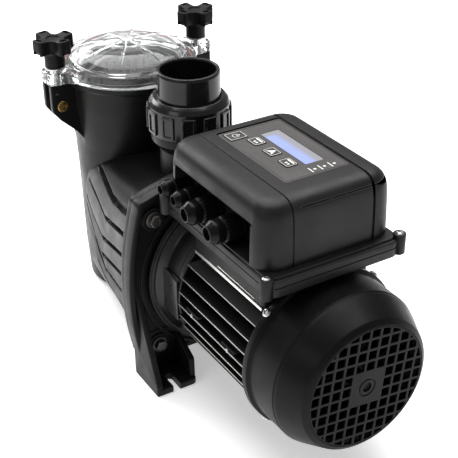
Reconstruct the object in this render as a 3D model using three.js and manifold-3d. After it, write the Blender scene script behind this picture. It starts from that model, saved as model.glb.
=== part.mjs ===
// Self-priming pool pump with a strainer pot, a finned electric motor and a speed controller on top.
// Millimetres. +Z is up from the ground, and +X runs along the motor shaft from the fan to the suction port.
// The pieces are drawn with X = 0 at the fan grille, and the exported group shifts X = 0 to mid-length.
import * as THREE from "three";
import { mergeVertices } from "three/addons/utils/BufferGeometryUtils.js";
import Module from "manifold-3d";

const wasm = await Module();
wasm.setup();

// ---- Driving dimensions ----
const AXIS_Z = 125; // motor shaft above the ground
const GAP = 0.3; // clearance between pieces that touch

const POT_X = 499; // centre of the strainer pot
const POT_TOP = 296; // upper face of the pot
const POT_BORE_R = 64;
const LID_SEAT_R = 72; // counterbore that centres the lid
const LID_SEAT_Z = 284;
const SUCTION_Z = 172;
const SUCTION_FACE = 574;
const SUCTION_R = 46;
const SUCTION_BORE_R = 29.8; // G2 female thread

const EAR_Y = 97; // knob axis, each side of the pot
const EAR_SLOT = 13; // width of the slot in each ear
const EAR_WALL = 7;
const NUT_Z = 267; // barrel nut axis
const NUT_R = 7;
const STUD_R = 4.6;
const STUD_BOTTOM = 252;
const THREAD_CLEARANCE = 0.35;

const LID_R = 85;
const LENGTH = POT_X + LID_R; // fan grille to the far edge of the lid
const LID_EDGE = 14; // thickness of the lid at its edge
const LID_TOP = 329;

const UNION_X = 346; // centre of the discharge port
const UNION_BASE = 271; // shoulder under the union nut
const SPIGOT_R = 41;
const SPIGOT_TOP = 296.6;
const DISCHARGE_BORE_R = 27;
const TAIL_R = 36.5;
const SOCKET_R = 31.6; // solvent socket for 63 mm pipe
const TAIL_TOP = 342.7;
const UNION_NUT_R = 48.8;

const PLATE_FRONT = 290; // joint face between the bracket and the pump housing
const PLATE_HALF_W = 122;
const BRACKET_T = 16;
const HOUSING_FLANGE_T = 10;
const COVER_PLATE_R = 78;
const VOLUTE_R = 70;
const VOLUTE_FRONT = 386;
const BOLT_AT_Y = 88; // flange bolts, sideways from the shaft
const BOLT_AT_Z = 84; // and up or down from it
const FOOT_INNER = 62;
const FOOT_OUTER = 114;
const FOOT_REAR = 232;
const FOOT_T = 9;

const FAN_COVER_LEN = 84;
const FAN_COVER_R = 88.6;
const FAN_LIP_R = 93.5;
const GRILLE_R = 68;
const GRILLE_PITCH = 11;
const GRILLE_HOLE = 7.8;
const FRAME_REAR = 86;
const FRAME_FRONT = 228;
const FRAME_BORE_R = 63;
const FRAME_R = 70;
const FIN_TIP_R = 87;
const FIN_PITCH = 15.5;
const FIN_T = 2.4;
const SHAFT_R = 10;
const SHIELD_R = 84;

const TRAY_X = [55.6, 264.2];
const TRAY_HALF_W = 80;
const TRAY_Z = [223, 244];
const COVER_X = [67.6, 260];
const COVER_HALF_W = 79.5;
const COVER_TOP = 313;
const PANEL_X = [106, 237];
const PANEL_Y = [-48.5, 30];
const PANEL_SINK = 1.6; // depth of the recess that the keypad membrane lies in
const KEY_TRAVEL = 0.6;
const GLAND_Z = 258.5;
const GLAND_WALL_Y = 56;

// ---- Geometry helpers ----
// Flat sides on a round piece: large shells, ordinary turned pieces, shaft fits, and slim rods and holes.
const SMOOTH = 28;
const ROUND = 20;
const TURNING = 16; // the shaft and what it turns in
const SLIM = 12;
const DEG = Math.PI / 180;

// A closed three.js geometry as a solid that can be joined and cut.
function solid(geometry) {
  const bare = new THREE.BufferGeometry();
  bare.setAttribute("position", geometry.getAttribute("position"));
  bare.setIndex(geometry.getIndex());
  const merged = mergeVertices(bare, 1e-3);
  const index = merged.getIndex().array;
  const corners = [];
  for (let i = 0; i < index.length; i += 3) {
    const [a, b, c] = [index[i], index[i + 1], index[i + 2]];
    if (a !== b && b !== c && c !== a) corners.push(a, b, c);
  }
  const vertProperties = merged.getAttribute("position").array;
  const made = manifoldOf(vertProperties, corners);
  if (made.volume() > 0) return made;
  for (let i = 0; i < corners.length; i += 3) {
    [corners[i + 1], corners[i + 2]] = [corners[i + 2], corners[i + 1]];
  }
  return manifoldOf(vertProperties, corners);
}

function manifoldOf(vertProperties, corners) {
  const triVerts = new Uint32Array(corners);
  return new wasm.Manifold(new wasm.Mesh({ numProp: 3, vertProperties, triVerts }));
}

const join = (...geometries) => geometries.map(solid).reduce((all, one) => all.add(one));
const cut = (body, ...geometries) => geometries.reduce((rest, one) => rest.subtract(solid(one)), body);

function geometryOf(body) {
  const { vertProperties, triVerts } = body.getMesh();
  const geometry = new THREE.BufferGeometry();
  geometry.setAttribute("position", new THREE.BufferAttribute(new Float32Array(vertProperties), 3));
  geometry.setIndex(new THREE.BufferAttribute(new Uint32Array(triVerts), 1));
  return geometry;
}

// Turned pieces: a profile lists [radius, z] about Z, or [x, radius] about X. A ring's profile is closed.
function turnedZ(profile, sides = ROUND) {
  const points = profile.map(([r, z]) => new THREE.Vector2(r, z));
  return new THREE.LatheGeometry(points, sides).rotateX(Math.PI / 2);
}

function turnedX(profile, sides = ROUND) {
  const points = profile.map(([x, r]) => new THREE.Vector2(r, x));
  return new THREE.LatheGeometry(points, sides).rotateZ(-Math.PI / 2);
}

const closed = (profile) => [...profile, profile[0]];

// A plain ring between two radii.
function ringX(x0, x1, inner, outer, sides) {
  return turnedX(closed([[x0, inner], [x0, outer], [x1, outer], [x1, inner]]), sides);
}

function ringZ(z0, z1, inner, outer, sides) {
  return turnedZ(closed([[inner, z0], [outer, z0], [outer, z1], [inner, z1]]), sides);
}

function rodX(r, x0, x1, sides = SLIM) {
  const rod = new THREE.CylinderGeometry(r, r, x1 - x0, sides).rotateZ(-Math.PI / 2);
  return rod.translate((x0 + x1) / 2, 0, 0);
}

function rodY(r, y0, y1, sides = SLIM) {
  return new THREE.CylinderGeometry(r, r, y1 - y0, sides).translate(0, (y0 + y1) / 2, 0);
}

function rodZ(r, z0, z1, sides = SLIM) {
  const rod = new THREE.CylinderGeometry(r, r, z1 - z0, sides).rotateX(Math.PI / 2);
  return rod.translate(0, 0, (z0 + z1) / 2);
}

function box(x0, x1, y0, y1, z0, z1) {
  const block = new THREE.BoxGeometry(x1 - x0, y1 - y0, z1 - z0);
  return block.translate((x0 + x1) / 2, (y0 + y1) / 2, (z0 + z1) / 2);
}

function extruded(shape, depth, curveSegments) {
  return new THREE.ExtrudeGeometry(shape, { depth, bevelEnabled: false, curveSegments });
}

const slabZ = (shape, z0, z1, segments = 8) => extruded(shape, z1 - z0, segments).translate(0, 0, z0);

// A shape drawn in (y, z), extruded along X.
function slabX(shape, x0, x1, segments = 8) {
  const turn = new THREE.Matrix4().makeBasis(
    new THREE.Vector3(0, 1, 0),
    new THREE.Vector3(0, 0, 1),
    new THREE.Vector3(1, 0, 0),
  );
  return extruded(shape, x1 - x0, segments).applyMatrix4(turn).translate(x0, 0, 0);
}

// A shape drawn in (x, z), extruded along Y.
function slabY(shape, y0, y1, segments = 8) {
  return extruded(shape, y1 - y0, segments).rotateX(Math.PI / 2).translate(0, y1, 0);
}

function polygon(points) {
  return new THREE.Shape(points.map(([x, y]) => new THREE.Vector2(x, y)));
}

function roundedRect(x0, x1, y0, y1, r) {
  const shape = new THREE.Shape();
  shape.moveTo(x0 + r, y0);
  shape.lineTo(x1 - r, y0);
  shape.absarc(x1 - r, y0 + r, r, -90 * DEG, 0, false);
  shape.lineTo(x1, y1 - r);
  shape.absarc(x1 - r, y1 - r, r, 0, 90 * DEG, false);
  shape.lineTo(x0 + r, y1);
  shape.absarc(x0 + r, y1 - r, r, 90 * DEG, 180 * DEG, false);
  shape.lineTo(x0, y0 + r);
  shape.absarc(x0 + r, y0 + r, r, 180 * DEG, 270 * DEG, false);
  return shape;
}

// A solid through equal-length rings of [x, y, z] points, with flat ends.
function lofted(rings) {
  const count = rings[0].length;
  const index = [];
  for (let k = 0; k + 1 < rings.length; k++) {
    for (let i = 0; i < count; i++) {
      const [a, b] = [k * count + i, k * count + ((i + 1) % count)];
      index.push(a, b, b + count, a, b + count, a + count);
    }
  }
  const last = (rings.length - 1) * count;
  for (let i = 1; i + 1 < count; i++) {
    index.push(0, i + 1, i, last, last + i, last + i + 1);
  }
  const geometry = new THREE.BufferGeometry();
  geometry.setAttribute("position", new THREE.Float32BufferAttribute(rings.flat(2), 3));
  geometry.setIndex(index);
  return geometry;
}

// ---- Materials ----
const finish = (color, roughness, metalness = 0) => ({ color, roughness, metalness });
const MOULDED_BLACK = finish(0x161618, 0.35);
const CLEAR = finish(0xdfe6e8, 0.08);
const KNOB_BLACK = finish(0x1b1b1d, 0.5);
const CASE_CHARCOAL = finish(0x232327, 0.6);
const PAINTED_FRAME = finish(0x141416, 0.4, 0.5);
const RUBBER = finish(0x0c0c0c, 0.9);
const STAINLESS = finish(0xb8b8ba, 0.3, 1);
const STEEL = finish(0x8c8c8f, 0.35, 1);
const BRASS = finish(0xb08d45, 0.35, 1);
const BASKET_GREY = finish(0x9a9a96, 0.5);
const LAMINATIONS = finish(0x55565a, 0.5, 0.8);
const CERAMIC = finish(0xe6e1d6, 0.3);
const CARBON = finish(0x2a2a2a, 0.5);
const DISPLAY = finish(0x9fa6e0, 0.15);
const MEMBRANE = finish(0x37373b, 0.45);
const KEY_GREY = finish(0x4a4a4f, 0.5);
const BOARD_GREEN = finish(0x1e5a34, 0.5);
const POLYMER_WHITE = finish(0xd8d4c8, 0.5);

const pump = new THREE.Group();
const assembly = new THREE.Group();
assembly.position.x = -LENGTH / 2;
pump.add(assembly);

function piece(name, shape, look, x = 0, y = 0, z = 0) {
  const geometry = shape.isBufferGeometry ? geometryOf(solid(shape)) : geometryOf(shape);
  const mesh = new THREE.Mesh(geometry, new THREE.MeshStandardMaterial(look));
  mesh.name = name;
  mesh.position.set(x, y, z);
  assembly.add(mesh);
  return mesh;
}

// ---- Flange outline shared by the housing and the bracket, drawn about the shaft axis ----
function flangeOutline(scale = 1) {
  const [side, corner, top, bottom] = [PLATE_HALF_W * scale, 107 * scale, 126 * scale, 103 * scale];
  const bulge = 2 * side - 110 * scale;
  const shape = new THREE.Shape();
  shape.moveTo(-103 * scale, -bottom);
  shape.lineTo(103 * scale, -bottom);
  shape.quadraticCurveTo(113 * scale, -bottom, 113 * scale, -93 * scale);
  shape.quadraticCurveTo(bulge, 2 * scale, corner, 98 * scale);
  shape.quadraticCurveTo(corner, 108 * scale, 97 * scale, 109 * scale);
  shape.quadraticCurveTo(0, 2 * top - 109 * scale, -97 * scale, 109 * scale);
  shape.quadraticCurveTo(-corner, 108 * scale, -corner, 98 * scale);
  shape.quadraticCurveTo(-bulge, 2 * scale, -113 * scale, -93 * scale);
  shape.quadraticCurveTo(-113 * scale, -bottom, -103 * scale, -bottom);
  return shape;
}

const boltPlaces = [-1, 1].flatMap((side) =>
  [-1, 1].map((up) => [side * BOLT_AT_Y, AXIS_Z + up * BOLT_AT_Z]));

// ---- Places used by more than one piece ----
const BOLT_HOLE_R = 5.2;
const EYE_R = 27; // inlet passage from the pot to the impeller
const PEDESTAL_CEILING = 218.7;

// The four membrane keys on the controller: centre, length along X and width along Y.
const keyPlaces = [
  { label: "power", x: 220.5, y: 15, long: 17, wide: 21 },
  { label: "down", x: 198, y: 3.5, long: 17, wide: 14 },
  { label: "menu", x: 169, y: 3.5, long: 17, wide: 14 },
  { label: "up", x: 140.5, y: 3.5, long: 17, wide: 14 },
];

// Two large and two small cable glands, from the fan end to the pump end.
const LARGE_GLAND = { stub: 9.5, cap: 13.5, tip: 97 };
const SMALL_GLAND = { stub: 6.5, cap: 9.6, tip: 92 };
const glandPlaces = [
  { x: 143, ...LARGE_GLAND },
  { x: 188, ...LARGE_GLAND },
  { x: 220, ...SMALL_GLAND },
  { x: 248, ...SMALL_GLAND },
];

// ---- Pump housing: pot, volute, ports and ears in one moulding ----
const HOOD_END = 490; // where the volute hood meets the widest part of the pot
const HOOD_EDGE_R = 9; // rounding of the hood's end round the pot
const HOOD_ROUNDING = HOOD_END - 9.5; // where that rounding starts
const DRAIN_Z = 30;
const DRAIN_R = 7; // thread radius of the drain plug
const DRAIN_FACE = 567; // boss face that the drain seal sits on

// One cross-section of the volute hood, a rounded square that widens towards the flange.
function hoodRing(x) {
  const spread = (HOOD_END - x) / (HOOD_END - PLATE_FRONT);
  const past = Math.max(0, x - HOOD_ROUNDING) / HOOD_EDGE_R;
  const drawnIn = HOOD_EDGE_R * (1 - Math.sqrt(1 - past ** 2));
  const halfW = 77.5 + 31.5 * spread - drawnIn;
  const top = 191 + 41 * spread ** 0.8 - drawnIn;
  const bottom = 29 - 2 * spread + drawnIn;
  const ring = [];
  for (let i = 0; i < ROUND; i++) {
    const turn = (i / ROUND) * 2 * Math.PI;
    const across = Math.sign(Math.cos(turn)) * Math.sqrt(Math.abs(Math.cos(turn)));
    const up = Math.sign(Math.sin(turn)) * Math.sqrt(Math.abs(Math.sin(turn)));
    ring.push([x, halfW * across, (top + bottom) / 2 + ((top - bottom) / 2) * up]);
  }
  return ring;
}

function earPlate(side, x0) {
  const outline = [
    [60, 205], [66, 205], [71, 216], [82, 229], [100, 249], [110, 263], [110, POT_TOP], [60, POT_TOP],
  ];
  return slabX(polygon(outline.map(([y, z]) => [side * y, z])), x0, x0 + EAR_WALL);
}

function housingOutside() {
  const pot = turnedZ([
    [0, 0], [60, 0], [66, 6], [69, 54], [71, 165], [72.5, 205], [79, 262], [80, 288],
    [84, 290], [84, POT_TOP], [0, POT_TOP],
  ], SMOOTH).translate(POT_X, 0, 0);
  const hood = lofted([300, 340, 380, 420, 460, 480.5, 485, 488, 489.4].map(hoodRing));
  const flangeStart = PLATE_FRONT + GAP;
  const flange = slabX(flangeOutline(0.985), flangeStart, flangeStart + HOUSING_FLANGE_T)
    .translate(0, 0, AXIS_Z);
  const tower = turnedZ([
    [0, 150], [35, 150], [35, 250], [45, 262], [45, UNION_BASE], [SPIGOT_R, UNION_BASE],
    [SPIGOT_R, SPIGOT_TOP], [0, SPIGOT_TOP],
  ], SMOOTH).translate(UNION_X, 0, 0);
  const web = box(UNION_X + 20, POT_X - 60, -4, 4, 190, 257);
  const boss = rodX(SUCTION_R, POT_X, SUCTION_FACE, ROUND).translate(0, 0, SUCTION_Z);
  const drainBoss = rodX(14, POT_X, DRAIN_FACE).translate(0, 0, DRAIN_Z);
  const ears = [-1, 1].flatMap((side) => [
    earPlate(side, POT_X - EAR_SLOT / 2 - EAR_WALL),
    earPlate(side, POT_X + EAR_SLOT / 2),
  ]);
  return join(pot, hood, flange, tower, web, boss, drainBoss, ...ears);
}

function housingHollows() {
  const cavity = turnedZ([
    [0, 10], [56, 10], [POT_BORE_R, 22], [POT_BORE_R, LID_SEAT_Z], [LID_SEAT_R, LID_SEAT_Z],
    [LID_SEAT_R, POT_TOP + 1], [0, POT_TOP + 1],
  ], SMOOTH).translate(POT_X, 0, 0);
  const lidGroove = ringZ(292, POT_TOP + 1, 74, 80, SMOOTH).translate(POT_X, 0, 0);
  const suction = rodX(SUCTION_BORE_R, POT_X + 40, SUCTION_FACE + 1, ROUND).translate(0, 0, SUCTION_Z);
  const volute = turnedX([
    [PLATE_FRONT - 1, 0], [PLATE_FRONT - 1, COVER_PLATE_R], [304, COVER_PLATE_R], [304, VOLUTE_R],
    [VOLUTE_FRONT - 8, VOLUTE_R], [VOLUTE_FRONT, 58], [VOLUTE_FRONT, 0],
  ]).translate(0, 0, AXIS_Z);
  const eye = rodX(EYE_R, VOLUTE_FRONT - 4, POT_X - 50, ROUND).translate(0, 0, AXIS_Z);
  const discharge = rodZ(DISCHARGE_BORE_R, AXIS_Z + 40, SPIGOT_TOP + 1, ROUND).translate(UNION_X, 0, 0);
  const unionGroove = ringZ(294.4, SPIGOT_TOP + 1, 30, 35, ROUND).translate(UNION_X, 0, 0);
  const nutHoles = [-1, 1].map((side) =>
    rodX(NUT_R + GAP, POT_X - 30, POT_X + 30).translate(0, side * EAR_Y, NUT_Z));
  const bolts = boltPlaces.map(([y, z]) =>
    rodX(BOLT_HOLE_R, PLATE_FRONT - 5, PLATE_FRONT + 30, 8).translate(0, y, z));
  const drain = rodX(DRAIN_R + THREAD_CLEARANCE, POT_X + 55, DRAIN_FACE + 1).translate(0, 0, DRAIN_Z);
  return [cavity, lidGroove, suction, volute, eye, discharge, unionGroove, ...nutHoles, ...bolts, drain];
}

piece("pump_housing", cut(housingOutside(), ...housingHollows()), MOULDED_BLACK);

// ---- Casing cover, its O-ring and the shaft seal ----
function casingCover() {
  return turnedX(closed([
    [290.3, 11], [290.3, 77.6], [293.7, 77.6], [293.7, 73.7], [298.3, 73.7], [298.3, 77.6],
    [303.6, 77.6], [303.6, 20.2], [298, 20.2], [298, 11],
  ]));
}

piece("casing_cover", casingCover(), MOULDED_BLACK, 0, 0, AXIS_Z);
piece("casing_o_ring", ringX(294, 298, 74, 77.7, ROUND), RUBBER, 0, 0, AXIS_Z);
piece("seal_seat", ringX(298.3, 304.2, 12.2, 19.8, TURNING), CERAMIC, 0, 0, AXIS_Z);
piece("seal_head", ringX(304.6, 311.5, 10.4, 17, TURNING), CARBON, 0, 0, AXIS_Z);

// ---- Impeller and diffuser ----
const IMPELLER_R = 58;

function impeller() {
  const hub = turnedX([[311.9, 0], [311.9, 15], [322, 15], [328, 8], [328, 0]], TURNING);
  const rearShroud = rodX(IMPELLER_R, 313, 316, ROUND);
  const frontShroud = turnedX(closed([
    [325, 23], [325, IMPELLER_R], [327.6, IMPELLER_R], [328.5, 26], [338, 26], [338, 23],
  ]));
  const vanes = [];
  for (let i = 0; i < 5; i++) {
    const vane = sweptVane(22, IMPELLER_R - 1, 50 * DEG, 2.4);
    vanes.push(slabX(vane, 315.5, 325.5, 4).rotateX((i / 5) * 2 * Math.PI));
  }
  const shaftBore = rodX(SHAFT_R + THREAD_CLEARANCE, 311, 322.4, TURNING);
  return cut(join(rearShroud, hub, frontShroud, ...vanes), shaftBore);
}

// A backward-swept blade between two radii, as a ribbon of even thickness.
function sweptVane(inner, outer, sweep, thickness) {
  const steps = 3;
  const edge = (side) => Array.from({ length: steps + 1 }, (_, i) => {
    const radius = inner + ((outer - inner) * i) / steps;
    const turn = (sweep * i) / steps + (side * thickness) / 2 / radius;
    return [radius * Math.cos(turn), radius * Math.sin(turn)];
  });
  return polygon([...edge(-1), ...edge(1).reverse()]);
}

function diffuser() {
  const plate = turnedX(closed([
    [331.5, 26.7], [331.5, 67], [335, 67], [335, 30.5], [385.6, 30.5], [385.6, 27.5], [345, 27.5],
    [341, 26.7],
  ]));
  const vanes = [];
  for (let i = 0; i < 7; i++) {
    vanes.push(slabX(sweptVane(60, 66.5, 12 * DEG, 2.5), 304.4, 332, 4).rotateX((i / 7) * 2 * Math.PI));
  }
  return join(plate, ...vanes);
}

piece("impeller", impeller(), MOULDED_BLACK, 0, 0, AXIS_Z);
piece("diffuser", diffuser(), POLYMER_WHITE, 0, 0, AXIS_Z);

// ---- Bracket with the two feet ----
const SHAFT_HOLE_R = 30;

function footParts(side) {
  const span = (x0, x1, near, far, z0, z1) =>
    box(x0, x1, Math.min(side * near, side * far), Math.max(side * near, side * far), z0, z1);
  const wall = (outline, near, far) =>
    slabY(polygon(outline), Math.min(side * near, side * far), Math.max(side * near, side * far));
  return [
    span(FOOT_REAR, PLATE_FRONT, FOOT_INNER, FOOT_OUTER, 0, FOOT_T),
    span(PLATE_FRONT - BRACKET_T, PLATE_FRONT, FOOT_INNER, FOOT_OUTER, 0, 60),
    wall([[232, 0], [289, 0], [289, 112], [277, 112], [234, 14]], FOOT_OUTER - 7, FOOT_OUTER),
    wall([[236, 0], [289, 0], [289, 45], [264, 45], [236, 36]], FOOT_INNER, FOOT_INNER + 7),
  ];
}

function motorBracket() {
  const plate = slabX(flangeOutline(), PLATE_FRONT - BRACKET_T, PLATE_FRONT).translate(0, 0, AXIS_Z);
  const shaftHole = rodX(SHAFT_HOLE_R, 260, 300, ROUND).translate(0, 0, AXIS_Z);
  const bolts = boltPlaces.map(([y, z]) => rodX(BOLT_HOLE_R, 260, 300, 8).translate(0, y, z));
  const slots = [-1, 1].flatMap((side) => [
    box(FOOT_REAR - 1, 252, side * 89 - 4.8, side * 89 + 4.8, -1, FOOT_T + 1),
    rodZ(4.8, -1, FOOT_T + 1).translate(252, side * 89, 0),
  ]);
  return cut(join(plate, ...footParts(-1), ...footParts(1)), shaftHole, ...bolts, ...slots);
}

piece("motor_bracket", motorBracket(), MOULDED_BLACK);

function flangeBolt() {
  const head = rodX(8.5, 267.4, PLATE_FRONT - BRACKET_T - GAP, 6);
  return join(head, rodX(4.8, 273, 299, 8));
}

boltPlaces.forEach(([y, z], i) => piece(`flange_bolt_${i + 1}`, flangeBolt(), STAINLESS, 0, y, z));

// ---- Strainer lid, basket and their seal ----
function lid() {
  const dome = turnedZ(closed([
    [0, LID_TOP], [22, 328.2], [46, 324.8], [68, 318], [83, 312.3],
    [LID_R, POT_TOP + LID_EDGE], [LID_R, POT_TOP + GAP], [71.4, POT_TOP + GAP], [71.4, 288.8], [67, 288.8],
    [67, 306], [60, 312], [42, 319], [0, 322.6],
  ]), SMOOTH);
  const ears = [-1, 1].map((side) => {
    const outline = roundedRect(-16, 16, 70, 114, 9);
    const ear = slabZ(outline, POT_TOP + GAP, 313, 4);
    return side > 0 ? ear : ear.rotateZ(Math.PI);
  });
  const holes = [-1, 1].map((side) => rodZ(STUD_R + 0.5, 290, 320).translate(0, side * EAR_Y, 0));
  return cut(join(dome, ...ears), ...holes);
}

piece("lid", lid(), CLEAR, POT_X);
piece("lid_o_ring", ringZ(292.3, 295.9, 74.3, 79.7, SMOOTH), RUBBER, POT_X);

function strainerBasket() {
  const shell = turnedZ([
    [0, 26], [54, 26], [56, 28], [61.5, 284.3], [71.5, 284.3], [71.5, 288.3], [58.8, 288.3],
    [53.4, 29], [0, 29],
  ], SMOOTH);
  const arch = new THREE.Shape();
  arch.moveTo(-61, 286);
  arch.quadraticCurveTo(0, 328, 61, 286);
  arch.lineTo(57, 286);
  arch.quadraticCurveTo(0, 321, -57, 286);
  const handle = slabX(arch, -4, 4, 5);
  const windows = [];
  for (let i = 0; i < 14; i++) {
    windows.push(box(50, 66, -6, 6, 44, 266).rotateZ(((i + 0.5) / 14) * 2 * Math.PI));
  }
  const inlet = rodX(30, 40, 70, ROUND).translate(0, 0, SUCTION_Z);
  return cut(join(shell, handle), ...windows, inlet);
}

piece("strainer_basket", strainerBasket(), BASKET_GREY, POT_X);

// ---- Hand knobs with their studs, washers and barrel nuts ----
const WASHER_Z = 313.3;
const KNOB_Z = WASHER_Z + 2;
const KNOB_HEAD_Z = 334;
const KNOB_TOP = 352;
const KNOB_TURN = 14 * DEG; // how the lobes lie when tight

// Four square-ended lobes joined by concave sides.
function knobOutline() {
  const lobe = [[21, -8.6], [24.6, -7.4], [25.8, -4], [25.8, 4], [24.6, 7.4]];
  const points = [];
  for (let quarter = 0; quarter < 4; quarter++) {
    const [c, s] = [[1, 0], [0, 1], [-1, 0], [0, -1]][quarter];
    for (const [x, y] of lobe) points.push([x * c - y * s, x * s + y * c]);
    for (let i = 0; i < 6; i++) {
      const t = i / 6;
      const x = (1 - t) ** 2 * 21 + 2 * t * (1 - t) * 4.5 + t ** 2 * 8.6;
      const y = (1 - t) ** 2 * 8.6 + 2 * t * (1 - t) * 4.5 + t ** 2 * 21;
      points.push([x * c - y * s, x * s + y * c]);
    }
  }
  return polygon(points);
}

function knob() {
  const hub = rodZ(12.2, KNOB_Z, KNOB_HEAD_Z + 2);
  const head = slabZ(knobOutline(), KNOB_HEAD_Z, KNOB_TOP);
  const dish = turnedZ([[0, KNOB_TOP - 4], [9, KNOB_TOP - 3], [14, KNOB_TOP + 1], [0, KNOB_TOP + 1]], SLIM);
  const studHole = rodZ(STUD_R + GAP, KNOB_Z - 1, 342);
  return cut(join(hub, head), dish, studHole);
}

for (const [label, side] of [["left", 1], ["right", -1]]) {
  const [x, y] = [POT_X, side * EAR_Y];
  piece(`knob_${label}`, knob(), KNOB_BLACK, x, y).rotation.z = KNOB_TURN;
  piece(`stud_${label}`, rodZ(STUD_R, STUD_BOTTOM, 341.7), STAINLESS, x, y);
  const washer = ringZ(WASHER_Z, KNOB_Z - GAP, STUD_R + GAP, 13, SLIM);
  piece(`knob_washer_${label}`, washer, STAINLESS, x, y);
  const barrel = rodX(NUT_R, -EAR_SLOT / 2 - EAR_WALL - 0.5, EAR_SLOT / 2 + EAR_WALL + 0.5);
  const thread = rodZ(STUD_R + THREAD_CLEARANCE, -10, 10);
  piece(`barrel_nut_${label}`, cut(solid(barrel), thread), BRASS, x, y, NUT_Z);
}

// ---- Discharge union ----
function unionNut() {
  const onSpigot = SPIGOT_R + THREAD_CLEARANCE;
  const onTail = TAIL_R + THREAD_CLEARANCE;
  const body = turnedZ(closed([
    [onSpigot, UNION_BASE + 0.4], [47, UNION_BASE + 0.4], [47, 304], [41, 312], [onTail, 312],
    [onTail, 303.9], [onSpigot, 303.9],
  ]), SMOOTH);
  const ribs = [];
  for (let i = 0; i < 12; i++) {
    ribs.push(box(45, UNION_NUT_R, -4.5, 4.5, UNION_BASE + 3, 302).rotateZ((i / 12) * 2 * Math.PI));
  }
  return join(body, ...ribs);
}

piece("discharge_union_nut", unionNut(), MOULDED_BLACK, UNION_X);

function dischargeTail() {
  const [collarR, collarTop, socketFloor] = [SPIGOT_R - 0.1, 303.6, 308];
  return turnedZ(closed([
    [DISCHARGE_BORE_R, SPIGOT_TOP + GAP], [collarR, SPIGOT_TOP + GAP], [collarR, collarTop],
    [TAIL_R, collarTop], [TAIL_R, TAIL_TOP - 1.2], [TAIL_R - 1.2, TAIL_TOP], [SOCKET_R, TAIL_TOP],
    [SOCKET_R, socketFloor], [DISCHARGE_BORE_R, socketFloor],
  ]), SMOOTH);
}

piece("discharge_tail", dischargeTail(), MOULDED_BLACK, UNION_X);
piece("discharge_o_ring", ringZ(294.7, SPIGOT_TOP, 30.3, 34.7, ROUND), RUBBER, UNION_X);

// ---- Drain plug ----
const DRAIN_SEAL_T = 1.4;

function drainPlug() {
  const face = DRAIN_FACE + GAP + DRAIN_SEAL_T + GAP;
  return join(rodX(11, face, face + 5, 6), rodX(DRAIN_R, DRAIN_FACE - 7, face + 1));
}

piece("drain_plug", drainPlug(), MOULDED_BLACK, 0, 0, DRAIN_Z);
piece("drain_seal", ringX(0, DRAIN_SEAL_T, DRAIN_R + GAP, 10.5, 24), RUBBER, DRAIN_FACE + GAP, 0, DRAIN_Z);

// ---- Motor: finned frame, end shields, core, rotor and bearings ----
const finReach = (offset) => Math.sqrt(FIN_TIP_R ** 2 - offset ** 2);
const finRoot = (offset) => Math.sqrt(FRAME_R ** 2 - offset ** 2) - 1.5;

function motorFrame() {
  const barrel = turnedX(closed([
    [FRAME_REAR, FRAME_BORE_R], [FRAME_REAR, FRAME_R], [FRAME_FRONT, FRAME_R], [FRAME_FRONT, FRAME_BORE_R],
  ]));
  const parts = [];
  for (let k = -3; k <= 3; k++) {
    const z = k * FIN_PITCH;
    for (const side of [-1, 1]) {
      const ends = [side * finRoot(z), side * finReach(z)].sort((a, b) => a - b);
      parts.push(box(FRAME_REAR, FRAME_FRONT, ...ends, z - FIN_T / 2, z + FIN_T / 2));
    }
  }
  for (let k = -2; k <= 2; k++) {
    const y = k * FIN_PITCH;
    parts.push(box(FRAME_REAR, FRAME_FRONT, y - FIN_T / 2, y + FIN_T / 2, -finReach(y), -finRoot(y)));
  }
  for (const side of [-1, 1]) {
    const pad = [side * finRoot(0), side * (FIN_TIP_R - 0.5)].sort((a, b) => a - b);
    parts.push(box(110, 138, ...pad, -3, 3), box(183, 212, ...pad, -3, 3));
    const rail = [side * 34, side * 42].sort((a, b) => a - b);
    parts.push(box(100, 214, ...rail, 55, PEDESTAL_CEILING - GAP - AXIS_Z));
  }
  return join(barrel, ...parts);
}

function frontEndShield() {
  return turnedX(closed([
    [FRAME_FRONT + GAP, 64], [FRAME_FRONT + GAP, SHIELD_R], [258, SHIELD_R], [264, 91], [268, 98],
    [273.7, 99], [273.7, 12.5], [268.3, 12.5], [268.3, 23.8], [250, 23.8], [250, 31], [262, 31],
    [262, 78], [232, 78], [232, 64],
  ]));
}

function rearEndShield() {
  const dish = turnedX(closed([
    [70, 10.8], [70, 26], [76, 60], [76, 86.6], [85.7, 86.6], [85.7, 64], [80, 60], [80, 26],
    [83.5, 26], [83.5, 20.3], [73, 20.3], [73, 10.8],
  ]));
  const lugs = coverScrewTurns.map((turn) => box(77, 85.7, 80, 89.8, -6, 6).rotateX(turn));
  const holes = coverScrewTurns.map((turn) => coverScrewRod(2.8, 78, 95).rotateX(turn));
  return cut(join(dish, ...lugs), ...holes);
}

// The fan cover screws point at the shaft; each is drawn along +Y and then turned about the shaft.
const coverScrewTurns = [45, 135, 225, 315].map((angle) => angle * DEG);
const COVER_SCREW_X = 80.5;

function coverScrewRod(r, inner, outer) {
  return rodY(r, inner, outer, 8).translate(COVER_SCREW_X, 0, 0);
}

const CORE_X = [150, 210]; // the laminated length of the stator and of the rotor
const REAR_JOURNAL_R = 8.5;

// Laminations with a bundle of end windings on each side.
function statorCore() {
  const [x0, x1] = CORE_X;
  const windings = 14;
  return turnedX(closed([
    [x0, 38], [x0, 42], [x0 - windings, 42], [x0 - windings, 58], [x0, 58], [x0, 62.7],
    [x1, 62.7], [x1, 58], [x1 + windings, 58], [x1 + windings, 42], [x1, 42], [x1, 38],
  ]));
}

function motorShaft() {
  const fanJournalR = 7;
  return turnedX([
    [14, 0], [14, fanJournalR], [50, fanJournalR], [50, REAR_JOURNAL_R], [FRAME_REAR, REAR_JOURNAL_R],
    [FRAME_REAR, SHAFT_R], [322, SHAFT_R], [322, 0],
  ], TURNING);
}

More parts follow.
